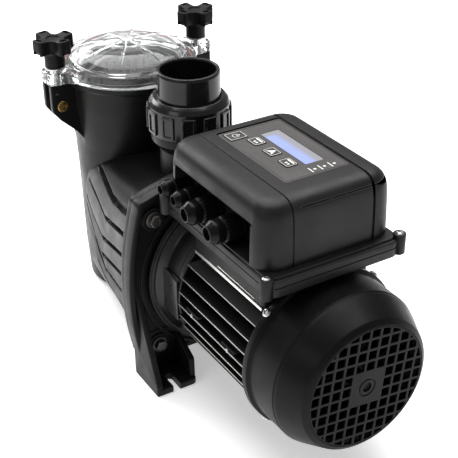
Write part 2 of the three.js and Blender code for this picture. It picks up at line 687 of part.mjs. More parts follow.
piece("motor_frame", motorFrame(), PAINTED_FRAME, 0, 0, AXIS_Z);
piece("front_end_shield", frontEndShield(), PAINTED_FRAME, 0, 0, AXIS_Z);
piece("rear_end_shield", rearEndShield(), PAINTED_FRAME, 0, 0, AXIS_Z);
piece("stator_core", statorCore(), LAMINATIONS, 0, 0, AXIS_Z);
piece("rotor_core", ringX(...CORE_X, SHAFT_R + GAP, 37.4, ROUND), LAMINATIONS, 0, 0, AXIS_Z);
piece("motor_shaft", motorShaft(), STEEL, 0, 0, AXIS_Z);
piece("rear_bearing", ringX(73.3, 83.3, REAR_JOURNAL_R + GAP, 20, TURNING), STEEL, 0, 0, AXIS_Z);
piece("front_bearing", ringX(253, 267, SHAFT_R + GAP, 23.5, TURNING), STEEL, 0, 0, AXIS_Z);

// ---- Cooling fan and its cover ----
function coolingFan() {
  const hub = turnedX(closed([[22, 7.3], [22, 15], [46, 15], [46, 66], [49, 66], [49, 7.3]]));
  const blades = [];
  for (let i = 0; i < 7; i++) {
    blades.push(box(25, 47, 14, 66, -1, 1).rotateX((i / 7) * 2 * Math.PI));
  }
  return join(hub, ...blades);
}

function fanCover() {
  const shell = turnedX([
    [0, 0], [0, 71], [3, 75], [32, FAN_COVER_R], [74, 89.8], [76, FAN_LIP_R],
    [FAN_COVER_LEN, FAN_LIP_R], [FAN_COVER_LEN, 91], [77, 91], [75, 87.4], [32.6, 86],
    [4, 71], [3, 69], [3, 0],
  ], SMOOTH);
  const holes = [];
  const half = Math.floor(GRILLE_R / GRILLE_PITCH);
  const reach = GRILLE_HOLE / 2;
  for (let row = -half; row <= half; row++) {
    for (let column = -half; column < half; column++) {
      const [y, z] = [(column + 0.5) * GRILLE_PITCH, row * GRILLE_PITCH];
      const solidCentre = Math.abs(row) <= 1 && Math.abs(y) < 2 * GRILLE_PITCH;
      const inside = Math.hypot(Math.abs(y) + reach, Math.abs(z) + reach) < GRILLE_R;
      if (inside && !solidCentre) holes.push(box(-1, 4, y - reach, y + reach, z - reach, z + reach));
    }
  }
  const screws = coverScrewTurns.map((turn) => coverScrewRod(2.8, 85, 97).rotateX(turn));
  const seats = coverScrewTurns.map((turn) => coverScrewRod(5.6, FAN_LIP_R - 0.6, 97).rotateX(turn));
  return cut(solid(shell), ...holes, ...screws, ...seats);
}

piece("cooling_fan", coolingFan(), MOULDED_BLACK, 0, 0, AXIS_Z);
piece("fan_cover", fanCover(), MOULDED_BLACK, 0, 0, AXIS_Z);
coverScrewTurns.forEach((turn, i) => {
  const screw = join(coverScrewRod(2.4, 82, 94), coverScrewRod(5, FAN_LIP_R - 0.3, 96));
  const mesh = piece(`fan_cover_screw_${i + 1}`, screw, STAINLESS, 0, 0, AXIS_Z);
  mesh.rotation.x = turn;
});

// ---- Controller: pedestal, tray, cover, keypad, display and board ----
function pedestal() {
  const outside = slabZ(roundedRect(88, 226, -65, 65, 6), 186, TRAY_Z[0] - GAP, 3);
  const inside = box(92, 222, -61, 61, 185, PEDESTAL_CEILING);
  const clearFrame = rodX(FRAME_R + 1, 80, 240, ROUND).translate(0, 0, AXIS_Z);
  const cableHole = rodZ(16, 200, 240).translate(157, 0, 0);
  return cut(solid(outside), inside, clearFrame, cableHole);
}

function tray() {
  const [x0, x1] = TRAY_X;
  const corners = [x0 + 6, x1 - 6].flatMap((x) => [-TRAY_HALF_W, TRAY_HALF_W].map((y) => [x, y]));
  const outline = slabZ(roundedRect(x0, x1, -TRAY_HALF_W, TRAY_HALF_W, 8), ...TRAY_Z, 3);
  const bosses = corners.map(([x, y]) => rodZ(6.8, TRAY_Z[0], TRAY_Z[1] + 2).translate(x, y, 0));
  const hollow = slabZ(roundedRect(x0 + 18, x1 - 18, -68, 52, 6), TRAY_Z[0] + 4, TRAY_Z[1] + 5, 3);
  const cableHole = rodZ(16, 200, 240).translate(157, 0, 0);
  return cut(join(outline, ...bosses), hollow, cableHole);
}

// One level of the cover: a rounded rectangle shrunk by inset, with big vertical corners.
function coverRing(z, inset, radius) {
  const [x0, x1, half] = [COVER_X[0] + inset, COVER_X[1] - inset, COVER_HALF_W - inset];
  const r = radius - inset * 0.5;
  const centres = [[x1 - r, half - r], [x0 + r, half - r], [x0 + r, r - half], [x1 - r, r - half]];
  return centres.flatMap(([cx, cy], corner) => Array.from({ length: 5 }, (_, i) => {
    const turn = (corner + i / 4) * 90 * DEG;
    return [cx + r * Math.cos(turn), cy + r * Math.sin(turn), z];
  }));
}

function controllerCover() {
  const shell = (levels) => lofted(levels.map(([z, inset]) => coverRing(z, inset, 24)));
  const outside = shell([
    [TRAY_Z[1] + GAP, 0], [292, 1.2], [303, 3], [309, 6.5], [312, 11], [COVER_TOP, 16],
  ]);
  const inside = shell([[TRAY_Z[1] - 1, 3.4], [292, 4.6], [303, 8], [COVER_TOP - 3.6, 16]]);
  const recess = (grow) => [
    box(92 - grow, 238 + grow, GLAND_WALL_Y - grow, 90, 240, 299 + grow),
    box(230, 270, GLAND_WALL_Y - grow, 90, 240, 272 + grow),
  ];
  const hollow = cut(solid(inside), ...recess(3));
  const panelSeat = box(...PANEL_X, ...PANEL_Y, COVER_TOP - PANEL_SINK, COVER_TOP + 2);
  const glandHoles = glandPlaces.map(({ x, stub }) =>
    rodY(stub + GAP, 40, 60).translate(x, 0, GLAND_Z));
  const walls = cut(solid(outside), ...recess(0)).subtract(hollow);
  return cut(walls, panelSeat, ...controlHoles(), ...glandHoles);
}

// The openings for the display window and the keys, right through the cover's top.
function controlHoles() {
  const [z0, z1] = [COVER_TOP - 13, COVER_TOP + 7];
  return [windowBlock(GAP, z0, z1), ...keyPlaces.map((place) => keyBlock(place, GAP, z0, z1))];
}

function windowBlock(grow, z0, z1) {
  return box(129 - grow, 211 + grow, -32 - grow, -10 + grow, z0, z1);
}

function keyBlock({ x, y, long, wide }, grow, z0, z1) {
  return box(x - long / 2 - grow, x + long / 2 + grow, y - wide / 2 - grow, y + wide / 2 + grow, z0, z1);
}

function keypadPanel() {
  const [x0, x1, y0, y1] = [PANEL_X[0] + GAP, PANEL_X[1] - GAP, PANEL_Y[0] + GAP, PANEL_Y[1] - GAP];
  const sheet = box(x0, x1, y0, y1, COVER_TOP - PANEL_SINK + GAP, COVER_TOP - 0.1);
  return cut(solid(sheet), ...controlHoles());
}

piece("controller_pedestal", pedestal(), CASE_CHARCOAL);
piece("controller_tray", tray(), CASE_CHARCOAL);
piece("controller_cover", controllerCover(), CASE_CHARCOAL);
piece("keypad_panel", keypadPanel(), MEMBRANE);
piece("display_window", windowBlock(0, COVER_TOP - 4.5, COVER_TOP - 0.4), DISPLAY);
piece("control_board", box(90, 230, -60, 44, 268, 269.6), BOARD_GREEN);
keyPlaces.forEach((place) => {
  const cap = keyBlock(place, 0, COVER_TOP - 5, COVER_TOP + KEY_TRAVEL);
  piece(`key_${place.label}`, cap, KEY_GREY);
});

// ---- Cable glands on the side of the controller ----
const glandMouth = (stub) => stub * 0.62;

// The body carries a solid blanking plug that fills the mouth of the cap.
function glandBody({ stub, cap, tip }) {
  const hex = rodY(cap + 0.3, GLAND_WALL_Y + GAP, GLAND_WALL_Y + 5.5, 6);
  const plug = rodY(glandMouth(stub) - GAP, GLAND_WALL_Y, tip - 2);
  return join(hex, rodY(stub, GLAND_WALL_Y - 7, GLAND_WALL_Y + 22), plug);
}

function glandCap({ stub, cap, tip }) {
  const mouth = glandMouth(stub);
  const [threadR, start, threadEnd] = [stub + THREAD_CLEARANCE, GLAND_WALL_Y + 6, GLAND_WALL_Y + 23];
  const profile = closed([
    [threadR, start], [cap, start], [cap, tip - 15], [cap * 0.93, tip - 8], [cap * 0.72, tip - 2],
    [mouth + 0.8, tip], [mouth, tip - 0.6], [mouth, threadEnd], [threadR, threadEnd],
  ]);
  return new THREE.LatheGeometry(profile.map(([r, y]) => new THREE.Vector2(r, y)), SLIM);
}

glandPlaces.forEach((place, i) => {
  piece(`gland_body_${i + 1}`, glandBody(place), MOULDED_BLACK, place.x, 0, GLAND_Z);
  piece(`gland_cap_${i + 1}`, glandCap(place), MOULDED_BLACK, place.x, 0, GLAND_Z);
});

export default pump;
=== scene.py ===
"""Looks of a self-priming pool pump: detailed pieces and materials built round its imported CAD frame.

Shapes are drawn in millimetres with X = 0 at the fan grille, like the CAD source, and `made` turns them
into metres in the row frame, where X = 0 is mid-length.
"""
import math

import bmesh
import bpy
import numpy as np
from mathutils import Matrix, Vector


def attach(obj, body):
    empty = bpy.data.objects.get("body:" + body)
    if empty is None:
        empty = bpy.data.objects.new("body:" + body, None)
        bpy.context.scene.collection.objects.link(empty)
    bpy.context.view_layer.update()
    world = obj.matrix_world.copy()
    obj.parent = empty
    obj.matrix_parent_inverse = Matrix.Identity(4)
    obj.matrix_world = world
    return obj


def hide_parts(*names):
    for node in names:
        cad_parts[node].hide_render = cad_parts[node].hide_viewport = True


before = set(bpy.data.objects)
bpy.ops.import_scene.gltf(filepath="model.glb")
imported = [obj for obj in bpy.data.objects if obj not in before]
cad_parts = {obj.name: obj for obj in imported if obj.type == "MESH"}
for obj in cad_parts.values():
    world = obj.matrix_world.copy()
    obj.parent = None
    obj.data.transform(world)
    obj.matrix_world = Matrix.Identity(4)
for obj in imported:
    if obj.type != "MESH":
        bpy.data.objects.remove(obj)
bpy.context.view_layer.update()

# ---- Dimensions shared with the CAD, in millimetres ----
MID = 292.0  # half the length
AXIS_Z = 125.0
POT_X = 499.0
POT_TOP = 296.0
EAR_Y = 97.0
UNION_X = 346.0
FINE = 128  # sides of a large round piece
ROUND = 64
SMALL = 32
STRAIGHT = 0.03  # radians: a corner this near to straight, or to folded back, isn't rounded
SIDES = (("left", 1), ("right", -1))
BOLT_PLACES = [(y, AXIS_Z + z) for y in (-88, 88) for z in (-84, 84)]  # the flange bolts, (Y, Z)


# ---- Outlines ----
def filleted(points, radius=0.0, steps=3, closed=True):
    """A polygon with rounded corners. A point may carry its own radius as a third number."""
    out = []
    count = len(points)
    for i, point in enumerate(points):
        r = point[2] if len(point) > 2 else radius
        here = np.array(point[:2], float)
        if r <= 0 or (not closed and i in (0, count - 1)):
            out.append(tuple(here))
            continue
        back = np.array(points[i - 1][:2], float) - here
        on = np.array(points[(i + 1) % count][:2], float) - here
        len_back, len_on = np.hypot(*back), np.hypot(*on)
        back, on = back / len_back, on / len_on
        angle = math.acos(max(-1.0, min(1.0, float(back @ on))))
        if not STRAIGHT <= angle <= math.pi - STRAIGHT:
            out.append(tuple(here))
            continue
        reach = min(r / math.tan(angle / 2), 0.49 * len_back, 0.49 * len_on)
        true_r = reach * math.tan(angle / 2)
        centre = here + (back + on) / np.hypot(*(back + on)) * true_r / math.sin(angle / 2)
        a = math.atan2(*(here + back * reach - centre)[::-1])
        b = math.atan2(*(here + on * reach - centre)[::-1])
        swing = (b - a + math.pi) % (2 * math.pi) - math.pi
        for k in range(steps + 1):
            turn = a + swing * k / steps
            out.append((centre[0] + true_r * math.cos(turn), centre[1] + true_r * math.sin(turn)))
    return out


def rectangle(x0, x1, y0, y1, r=0.0, steps=5):
    return filleted([(x0, y0), (x1, y0), (x1, y1), (x0, y1)], r, steps)


def polar(radius_at, count):
    turns = [2 * math.pi * i / count for i in range(count)]
    return [(radius_at(t) * math.cos(t), radius_at(t) * math.sin(t)) for t in turns]


def curve_through(points, steps=8):
    """A smooth open line through the points (Catmull-Rom)."""
    p = [np.array(q, float) for q in [points[0], *points, points[-1]]]
    out = []
    for a, b, c, d in zip(p, p[1:], p[2:], p[3:]):
        for k in range(steps):
            t = k / steps
            out.append(0.5 * (2 * b + (c - a) * t + (2 * a - 5 * b + 4 * c - d) * t ** 2
                              + (3 * b - a - 3 * c + d) * t ** 3))
    out.append(p[-1])
    return [tuple(q) for q in out]


def inset(outline, distance):
    """The outline moved inwards (it runs counterclockwise) along its corners' normals."""
    p = np.array(outline, float)
    before, after = np.roll(p, 1, 0), np.roll(p, -1, 0)

    def normal(d):
        length = np.maximum(np.hypot(d[:, 0], d[:, 1]), 1e-9)
        return np.stack([-d[:, 1], d[:, 0]], 1) / length[:, None]

    a, b = normal(p - before), normal(after - p)
    middle = a + b
    scale = np.maximum((middle * a).sum(1), 0.35)
    return p + middle / scale[:, None] * distance


# ---- Solids: each is (points in mm, faces) ----
def oriented(flat, along, axis):
    """Points of an outline (n, 2) at a height along the axis, as (n, 3)."""
    flat = np.asarray(flat, float)
    full = np.concatenate([flat, np.full((len(flat), 1), float(along))], 1)
    if axis == "x":
        return full[:, [2, 0, 1]]
    if axis == "y":
        return full[:, [0, 2, 1]]
    return full


def skin(rings):
    """A closed surface through equal rings, the first and the last filled in."""
    count = len(rings[0])
    faces = []
    for k in range(len(rings) - 1):
        low, high = k * count, (k + 1) * count
        for i in range(count):
            j = (i + 1) % count
            faces.append((low + i, low + j, high + j, high + i))
    last = (len(rings) - 1) * count
    faces.append(tuple(reversed(range(count))))
    faces.append(tuple(range(last, last + count)))
    return np.concatenate([np.asarray(r, float) for r in rings]), faces


def prism(outline, low, high, axis="z", edge=0.0, steps=3):
    """An outline drawn out along an axis, its two rims rounded by edge."""
    if edge > 0:
        turns = [math.pi / 2 * k / steps for k in range(steps + 1)]
        curve = [(edge * (1 - math.cos(t)), edge * (1 - math.sin(t))) for t in turns]
        levels = [(low + up, d) for up, d in curve] + [(high - up, d) for up, d in reversed(curve)]
    else:
        levels = [(low, 0.0), (high, 0.0)]
    rings = [oriented(inset(outline, d) if d else outline, at, axis) for at, d in levels]
    return skin(rings)


def box(x0, x1, y0, y1, z0, z1, edge=0.0, corner=None, steps=3):
    """A block with its rims rounded by edge and its upright corners by corner, in so many steps."""
    r = edge if corner is None else corner
    return prism(rectangle(x0, x1, y0, y1, r, steps), z0, z1, "z", edge)


def lathe(profile, sides=FINE, axis="z", ring=False):
    """Turns a profile of (radius, along) about an axis. A ring's profile is closed; others end on the axis."""
    verts, rows = [], []
    for r, h in profile:
        if r < 1e-6:
            rows.append([len(verts)])
            verts.append((0.0, 0.0, h))
        else:
            rows.append(list(range(len(verts), len(verts) + sides)))
            for i in range(sides):
                turn = 2 * math.pi * i / sides
                verts.append((r * math.cos(turn), r * math.sin(turn), h))
    faces = []
    for a, b in list(zip(rows, rows[1:])) + ([(rows[-1], rows[0])] if ring else []):
        for i in range(sides):
            j = (i + 1) % sides
            if len(a) == 1:
                faces.append((a[0], b[i], b[j]))
            elif len(b) == 1:
                faces.append((a[i], a[j], b[0]))
            else:
                faces.append((a[i], a[j], b[j], b[i]))
    verts = np.array(verts)
    if axis == "x":
        verts = verts[:, [2, 0, 1]]
    if axis == "y":
        verts = verts[:, [1, 2, 0]]
    return verts, faces


def spun(profile, sides=ROUND, axis="z", steps=4, ring=False):
    """A lathe shape whose profile points may carry a rounding radius as a third number."""
    return lathe(filleted(profile, 0, steps, closed=ring), sides, axis, ring)


def rod(r, low, high, axis="z", sides=SMALL, edge=0.0):
    return spun([(0, low), (r, low, edge), (r, high, edge), (0, high)], sides, axis, 3)


def moved(shape, x=0.0, y=0.0, z=0.0):
    return shape[0] + np.array([x, y, z]), shape[1]


def turned(shape, degrees, axis="z"):
    m = np.array(Matrix.Rotation(math.radians(degrees), 3, axis.upper()))
    return shape[0] @ m.T, shape[1]


def mirrored(shape):
    """The same solid on the other side of the plane Y = 0."""
    return shape[0] * np.array([1.0, -1.0, 1.0]), [tuple(reversed(f)) for f in shape[1]]


def both(shape):
    return [shape, mirrored(shape)]


def together(shapes):
    verts, faces, start = [], [], 0
    for v, f in shapes:
        verts.append(v)
        faces += [tuple(i + start for i in face) for face in f]
        start += len(v)
    return np.concatenate(verts), faces


def around(shape, count, axis="z", start=0.0):
    return [turned(shape, start + 360 * i / count, axis) for i in range(count)]


# ---- Turning solids into meshes, and joining and cutting them ----
def linked(name, data):
    thing = bpy.data.objects.new(name, data)
    bpy.context.scene.collection.objects.link(thing)
    return thing


def scratch(shape):
    mesh = bpy.data.meshes.new("scratch")
    mesh.from_pydata(shape[0].tolist(), [], [list(f) for f in shape[1]])
    bm = bmesh.new()
    bm.from_mesh(mesh)
    bmesh.ops.recalc_face_normals(bm, faces=bm.faces)
    bm.to_mesh(mesh)
    bm.free()
    return linked("scratch", mesh)


def combined(base, others, how):
    """Boolean of closed solids, one after the other, with the exact manifold solver."""
    body = scratch(base)
    tools = [scratch(s) for s in others]
    for tool in tools:
        step = body.modifiers.new("step", "BOOLEAN")
        step.operation = how
        step.solver = "MANIFOLD"
        step.object = tool
    result = bpy.data.meshes.new_from_object(body.evaluated_get(bpy.context.evaluated_depsgraph_get()))
    verts = np.zeros(len(result.vertices) * 3)
    result.vertices.foreach_get("co", verts)
    faces = [tuple(p.vertices) for p in result.polygons]
    for thing in [body, *tools]:
        bpy.data.objects.remove(thing)
    bpy.data.meshes.remove(result)
    return verts.reshape(-1, 3), faces


def joined(base, *others):
    return combined(base, others, "UNION")


def carved(base, *others):
    return combined(base, others, "DIFFERENCE")


def common(base, *others):
    return combined(base, others, "INTERSECT")


WELD = 2e-6  # metres: points closer than this become one
CRISP = math.radians(32.0)  # edges sharper than this stay crisp


def made(name, shape, look, body="root", replaces=()):
    """A finished piece: in metres in the row frame, riding on its body, smooth but for its crisp edges."""
    verts = (shape[0] - np.array([MID, 0.0, 0.0])) / 1000
    mesh = bpy.data.meshes.new(name)
    mesh.from_pydata(verts.tolist(), [], [list(f) for f in shape[1]])
    bm = bmesh.new()
    bm.from_mesh(mesh)
    bmesh.ops.remove_doubles(bm, verts=bm.verts, dist=WELD)
    bmesh.ops.recalc_face_normals(bm, faces=bm.faces)
    for face in bm.faces:
        face.smooth = True
    for edge in bm.edges:
        edge.smooth = len(edge.link_faces) == 2 and edge.calc_face_angle(0.0) < CRISP
    bm.to_mesh(mesh)
    bm.free()
    mesh.materials.append(look)
    thing = linked(name, mesh)
    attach(thing, body)
    if replaces:
        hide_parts(*replaces)
    return thing


# ---- Materials ----
def shade(colour, by, plus=0.0):
    return tuple(min(1.0, c * by + plus) for c in colour)


class Nodes:
    """A short way to build one material's node tree."""

    def __init__(self, name):
        self.material = bpy.data.materials.new(name)
        self.material.use_nodes = True
        self.tree = self.material.node_tree
        self.tree.nodes.clear()
        self.out = self.tree.nodes.new("ShaderNodeOutputMaterial")
        self.place = self.new("TexCoord").outputs["Object"]

    def new(self, kind, **inputs):
        node = self.tree.nodes.new("ShaderNode" + kind)
        for key, value in inputs.items():
            self.set(node, key.replace("_", " "), value)
        return node

    def set(self, node, key, value):
        if isinstance(value, bpy.types.NodeSocket):
            self.tree.links.new(value, node.inputs[key])
        else:
            node.inputs[key].default_value = value

    def noise(self, scale, detail=2.0, rough=0.5, stretch=None, distortion=0.0):
        vector = self.place
        if stretch:
            vector = self.new("Mapping", Vector=self.place, Scale=stretch).outputs[0]
        node = self.new("TexNoise", Vector=vector, Scale=scale, Detail=detail, Roughness=rough,
                        Distortion=distortion)
        return node.outputs["Fac"]

    def ramp(self, fac, low, high, start=0.0, end=1.0):
        """Maps fac from low..high to start..end, clamped."""
        return self.new("MapRange", Value=fac, From_Min=low, From_Max=high, To_Min=start, To_Max=end).outputs[0]

    def mix(self, fac, a, b):
        node = self.tree.nodes.new("ShaderNodeMix")
        node.data_type = "RGBA"
        self.set(node, 0, fac)
        for key, value in ((6, a), (7, b)):
            self.set(node, key, value if isinstance(value, bpy.types.NodeSocket) else (*value, 1.0))
        return node.outputs[2]

    def times(self, a, b):
        node = self.new("Math")
        node.operation = "MULTIPLY"
        self.set(node, 0, a)
        self.set(node, 1, b)
        return node.outputs[0]

    def bump(self, height, distance, strength=1.0, under=None):
        node = self.new("Bump", Height=height, Distance=distance, Strength=strength)
        if under is not None:
            self.set(node, "Normal", under)
        return node.outputs[0]

    def soft_edge(self, radius):
        node = self.new("Bevel", Radius=radius)
        node.samples = 4
        return node.outputs[0]

    def worn_edge(self, low=0.52, high=0.6):
        return self.ramp(self.new("NewGeometry").outputs["Pointiness"], low, high)

    def shader(self, **inputs):
        node = self.new("BsdfPrincipled", **inputs)
        self.tree.links.new(node.outputs[0], self.out.inputs["Surface"])
        return self.material


def moulded(name, colour, rough, grain=900.0, depth=0.00002, edge=0.0006, spread=0.25, coat=0.0,
            rough_spread=0.08, wear=0.06, dust=0.012, specular=0.32):
    """Injection-moulded plastic: fine grain, faint flow marks, slightly burnished edges and a little dust."""
    n = Nodes(name)
    flow = n.noise(14.0, 3.0, 0.55, distortion=0.6)
    tint = n.mix(n.ramp(flow, 0.3, 0.7), shade(colour, 1 - spread), shade(colour, 1 + spread))
    tint = n.mix(n.ramp(n.worn_edge(), 0.0, 1.0, 0.0, wear * 4), tint, shade(colour, 1.6, 0.02))
    up = n.new("SeparateXYZ", Vector=n.new("NewGeometry").outputs["Normal"]).outputs["Z"]
    settled = n.ramp(up, 0.6, 1.0)
    specks = n.ramp(n.noise(260.0, 4.0, 0.7), 0.5, 0.75)
    veil = n.ramp(n.times(settled, specks), 0.0, 1.0, 0.0, dust * 6)
    tint = n.mix(veil, tint, (0.32, 0.31, 0.29))
    gloss = n.ramp(n.noise(34.0, 4.0, 0.6), 0.3, 0.7, max(rough - rough_spread, 0.02), rough + rough_spread)
    fine = n.bump(n.noise(grain, 2.0, 0.6), depth, 0.6, n.soft_edge(edge))
    wave = n.bump(n.noise(22.0, 2.0, 0.5), 0.00025, 0.12, fine)
    return n.shader(Base_Color=tint, Roughness=gloss, Normal=wave, Coat_Weight=coat, Coat_Roughness=0.12,
                    Specular_IOR_Level=specular)


def metal(name, colour, rough, scratches=(30.0, 1.0, 1.0), spread=0.12, edge=0.0003):
    n = Nodes(name)
    brushed = n.noise(120.0, 5.0, 0.7, stretch=scratches)
    tint = n.mix(n.ramp(brushed, 0.3, 0.7), shade(colour, 1 - spread), shade(colour, 1 + spread))
    gloss = n.ramp(n.noise(300.0, 3.0, 0.6, stretch=scratches), 0.3, 0.7, rough * 0.7, rough * 1.4)
    fine = n.bump(brushed, 0.00002, 0.5, n.soft_edge(edge))
    return n.shader(Base_Color=tint, Roughness=gloss, Metallic=1.0, Normal=fine)


def painted(name, colour, rough, coat=0.15, specular=0.35):
    """Sprayed enamel over cast metal: an orange-peel surface with thin, brighter edges."""
    n = Nodes(name)
    tint = n.mix(n.ramp(n.noise(18.0, 3.0), 0.3, 0.7), shade(colour, 0.75), shade(colour, 1.3))
    tint = n.mix(n.ramp(n.worn_edge(0.53, 0.6), 0.0, 1.0, 0.0, 0.35), tint, (0.22, 0.22, 0.22))
    gloss = n.ramp(n.noise(60.0, 3.0), 0.3, 0.7, rough * 0.8, rough * 1.25)
    peel = n.bump(n.noise(420.0, 2.0, 0.5), 0.00006, 0.35, n.soft_edge(0.0005))
    return n.shader(Base_Color=tint, Roughness=gloss, Normal=peel, Coat_Weight=coat, Coat_Roughness=0.15,
                    Specular_IOR_Level=specular)


def rubber(name, colour):
    n = Nodes(name)
    tint = n.mix(n.noise(150.0, 4.0), shade(colour, 0.7), shade(colour, 1.4))
    return n.shader(Base_Color=tint, Roughness=0.75, Normal=n.bump(n.noise(1500.0, 2.0), 0.00003, 0.6),
                    Sheen_Weight=0.15)


def clear_plastic(name):
    n = Nodes(name)
    haze = n.ramp(n.noise(40.0, 4.0, 0.6), 0.35, 0.75, 0.015, 0.06)
    wave = n.bump(n.noise(30.0, 2.0), 0.0003, 0.1, n.soft_edge(0.0005))
    tint = n.mix(n.noise(8.0, 2.0), (0.93, 0.95, 0.95), (0.98, 0.99, 0.99))
    return n.shader(Base_Color=tint, Roughness=haze, Normal=wave, Transmission_Weight=0.96, IOR=1.3)


def display_glass(name):
    """A backlit display: a lavender-blue field, faintly ruled in cells, set off centre in a pale grey surround."""
    n = Nodes(name)
    xyz = n.new("SeparateXYZ", Vector=n.place)
    along = n.ramp(xyz.outputs["X"], -0.092, -0.087, 1.0, 0.0)
    depth = n.ramp(xyz.outputs["Y"], -0.026, -0.019)
    field = n.mix(n.ramp(n.noise(60.0, 2.0), 0.3, 0.7, 0.0, 0.25), (0.2, 0.24, 0.46), (0.26, 0.3, 0.5))
    cells = n.new("TexBrick", Vector=n.place, Scale=1.0, Mortar_Size=0.0005, Brick_Width=0.0035,
                  Row_Height=0.0085)
    cells.offset = 0.0
    field = n.mix(n.ramp(cells.outputs["Fac"], 0.0, 1.0, 0.0, 0.12), field, (0.2, 0.22, 0.4))
    tint = n.mix(n.times(along, depth), (0.2, 0.2, 0.215), field)
    return n.shader(Base_Color=tint, Roughness=0.4, Emission_Color=tint, Emission_Strength=0.5,
                    Specular_IOR_Level=0.2, Normal=n.bump(n.noise(50.0, 2.0), 0.0001, 0.05))


LOOKS = {
    "housing_black": moulded("HousingBlack", (0.006, 0.0053, 0.0055), 0.37, 1400, 0.00002, 0.0012, coat=0.0,
                             dust=0.006, specular=0.22),
    "wet_end_black": moulded("WetEndBlack", (0.02, 0.02, 0.021), 0.45),
    "union_black": moulded("UnionBlack", (0.0065, 0.006, 0.0062), 0.24, 1600, 0.000012, 0.0008, coat=0.3),
    "knob_black": moulded("KnobBlack", (0.0075, 0.0068, 0.007), 0.5, 1200, 0.00004, 0.0009, dust=0.003,
                          specular=0.17),
    "lid_clear": clear_plastic("LidClear"),
    "seal_rubber": rubber("SealRubber", (0.012, 0.012, 0.012)),
    "seal_red": rubber("SealRed", (0.32, 0.06, 0.035)),
    "ceramic": moulded("Ceramic", (0.72, 0.69, 0.62), 0.3, 800, 0.00001, 0.0002, spread=0.05),
    "carbon": moulded("Carbon", (0.03, 0.03, 0.031), 0.4, 800, 0.00001, 0.0002),
    "stainless": metal("Stainless", (0.6, 0.6, 0.61), 0.28),
    "shaft_steel": metal("ShaftSteel", (0.46, 0.46, 0.48), 0.3, (1.0, 30.0, 30.0)),
    "core_steel": metal("CoreSteel", (0.2, 0.2, 0.22), 0.45, (60.0, 1.0, 1.0)),
    "brass": metal("Brass", (0.62, 0.43, 0.16), 0.3),
    "basket_plastic": moulded("BasketPlastic", (0.075, 0.07, 0.066), 0.5, 900, 0.00003, 0.0004, spread=0.12),
    "motor_black": painted("MotorBlack", (0.0055, 0.005, 0.0051), 0.34),
    "fan_cover_black": moulded("FanCoverBlack", (0.004, 0.0034, 0.0036), 0.38, 1800, 0.000018, 0.001,
                               dust=0.003, specular=0.15),
    "case_charcoal": moulded("CharcoalPlastic", (0.0095, 0.0082, 0.0082), 0.42, 2200, 0.00003, 0.0009,
                             dust=0.006, specular=0.27),
    "keypad_grey": moulded("KeypadGrey", (0.058, 0.055, 0.054), 0.5, 3000, 0.00002, 0.0003, spread=0.1),
    "key_grey": moulded("KeyGrey", (0.036, 0.034, 0.034), 0.45, 3000, 0.00002, 0.0004, spread=0.1),
    "display_blue": display_glass("DisplayBlue"),
    "board_green": moulded("BoardGreen", (0.02, 0.14, 0.05), 0.4, 1200, 0.00002, 0.0002),
    "gland_black": moulded("GlandBlack", (0.0056, 0.005, 0.0051), 0.24, 1600, 0.000012, 0.0006, dust=0.002,
                           specular=0.16),
}
BOLT = metal("BoltDark", (0.16, 0.155, 0.15), 0.36)
# painted highlight: pale metal standing in for the light caught along the fin tips
TIP_HIGHLIGHT = metal("PaintedTipHighlight", (0.42, 0.41, 0.4), 0.42)
# painted shade: a darker copy of the motor's black paint, standing in for the shade between the fins
SHADED_FIN_PAINT = painted("FinBlackPaintedShade", (0.0022, 0.002, 0.002), 0.6, 0.0, 0.1)
# painted highlight: a bright metal standing in for the highlight along the pedestal's glossy lower edge
HIGHLIGHT_METAL = metal("PaintedHighlightEdge", (0.8, 0.79, 0.77), 0.35)
PRINT = moulded("PrintPale", (0.62, 0.62, 0.6), 0.5, 2000, 0.00001, 0.0001, spread=0.06, dust=0.0)


def of_slot(name, shape, slot, body="root", replaces=()):
    return made(name, shape, LOOKS[slot], body, replaces)


# ---- Small parts used many times ----
RINGS_PER_PITCH = 4


def threaded(r, depth, pitch, low, high, sides=SMALL):
    """A rod along Z whose surface is a helical thread."""
    count = int((high - low) / pitch * RINGS_PER_PITCH)
    heights = np.linspace(low, high, count + 1)
    turns = 2 * np.pi * np.arange(sides) / sides
    rings = []
    for h in heights:
        phase = ((h - low) / pitch - turns / (2 * np.pi)) % 1.0
        radius = r - depth * np.abs(2 * phase - 1)
        rings.append(np.stack([radius * np.cos(turns), radius * np.sin(turns), np.full(sides, h)], 1))
    return skin(rings)


def ring_shape(inner, outer, low, high, axis="z", edge=0.4, sides=ROUND):
    rim = [(inner, low), (outer, low), (outer, high), (inner, high)]
    return lathe(filleted(rim, edge), sides, axis, ring=True)


def o_ring(r, thick, at, axis="z"):
    rim = [(r + out, at + up) for out, up in polar(lambda t: thick, 12)]
    return lathe(rim, FINE, axis, ring=True)


def cross_head(r, height):
    """A pan-head screw with a cross recess, standing on Z = 0."""
    head = spun([(0, -3), (r * 0.45, -3), (r * 0.45, 0), (r, 0, 0.2), (r, height * 0.45, r * 0.4),
                 (r * 0.55, height, r * 0.5), (0, height)], 24)
    arms = [box(-r * 0.62, r * 0.62, -r * 0.13, r * 0.13, height * 0.35, height + 1),
            box(-r * 0.13, r * 0.13, -r * 0.62, r * 0.62, height * 0.35, height + 1)]
    return carved(head, joined(*arms))


def hex_outline(across_flats, r=0.6):
    corner = across_flats / math.sqrt(3)
    return filleted(polar(lambda t: corner, 6), r)


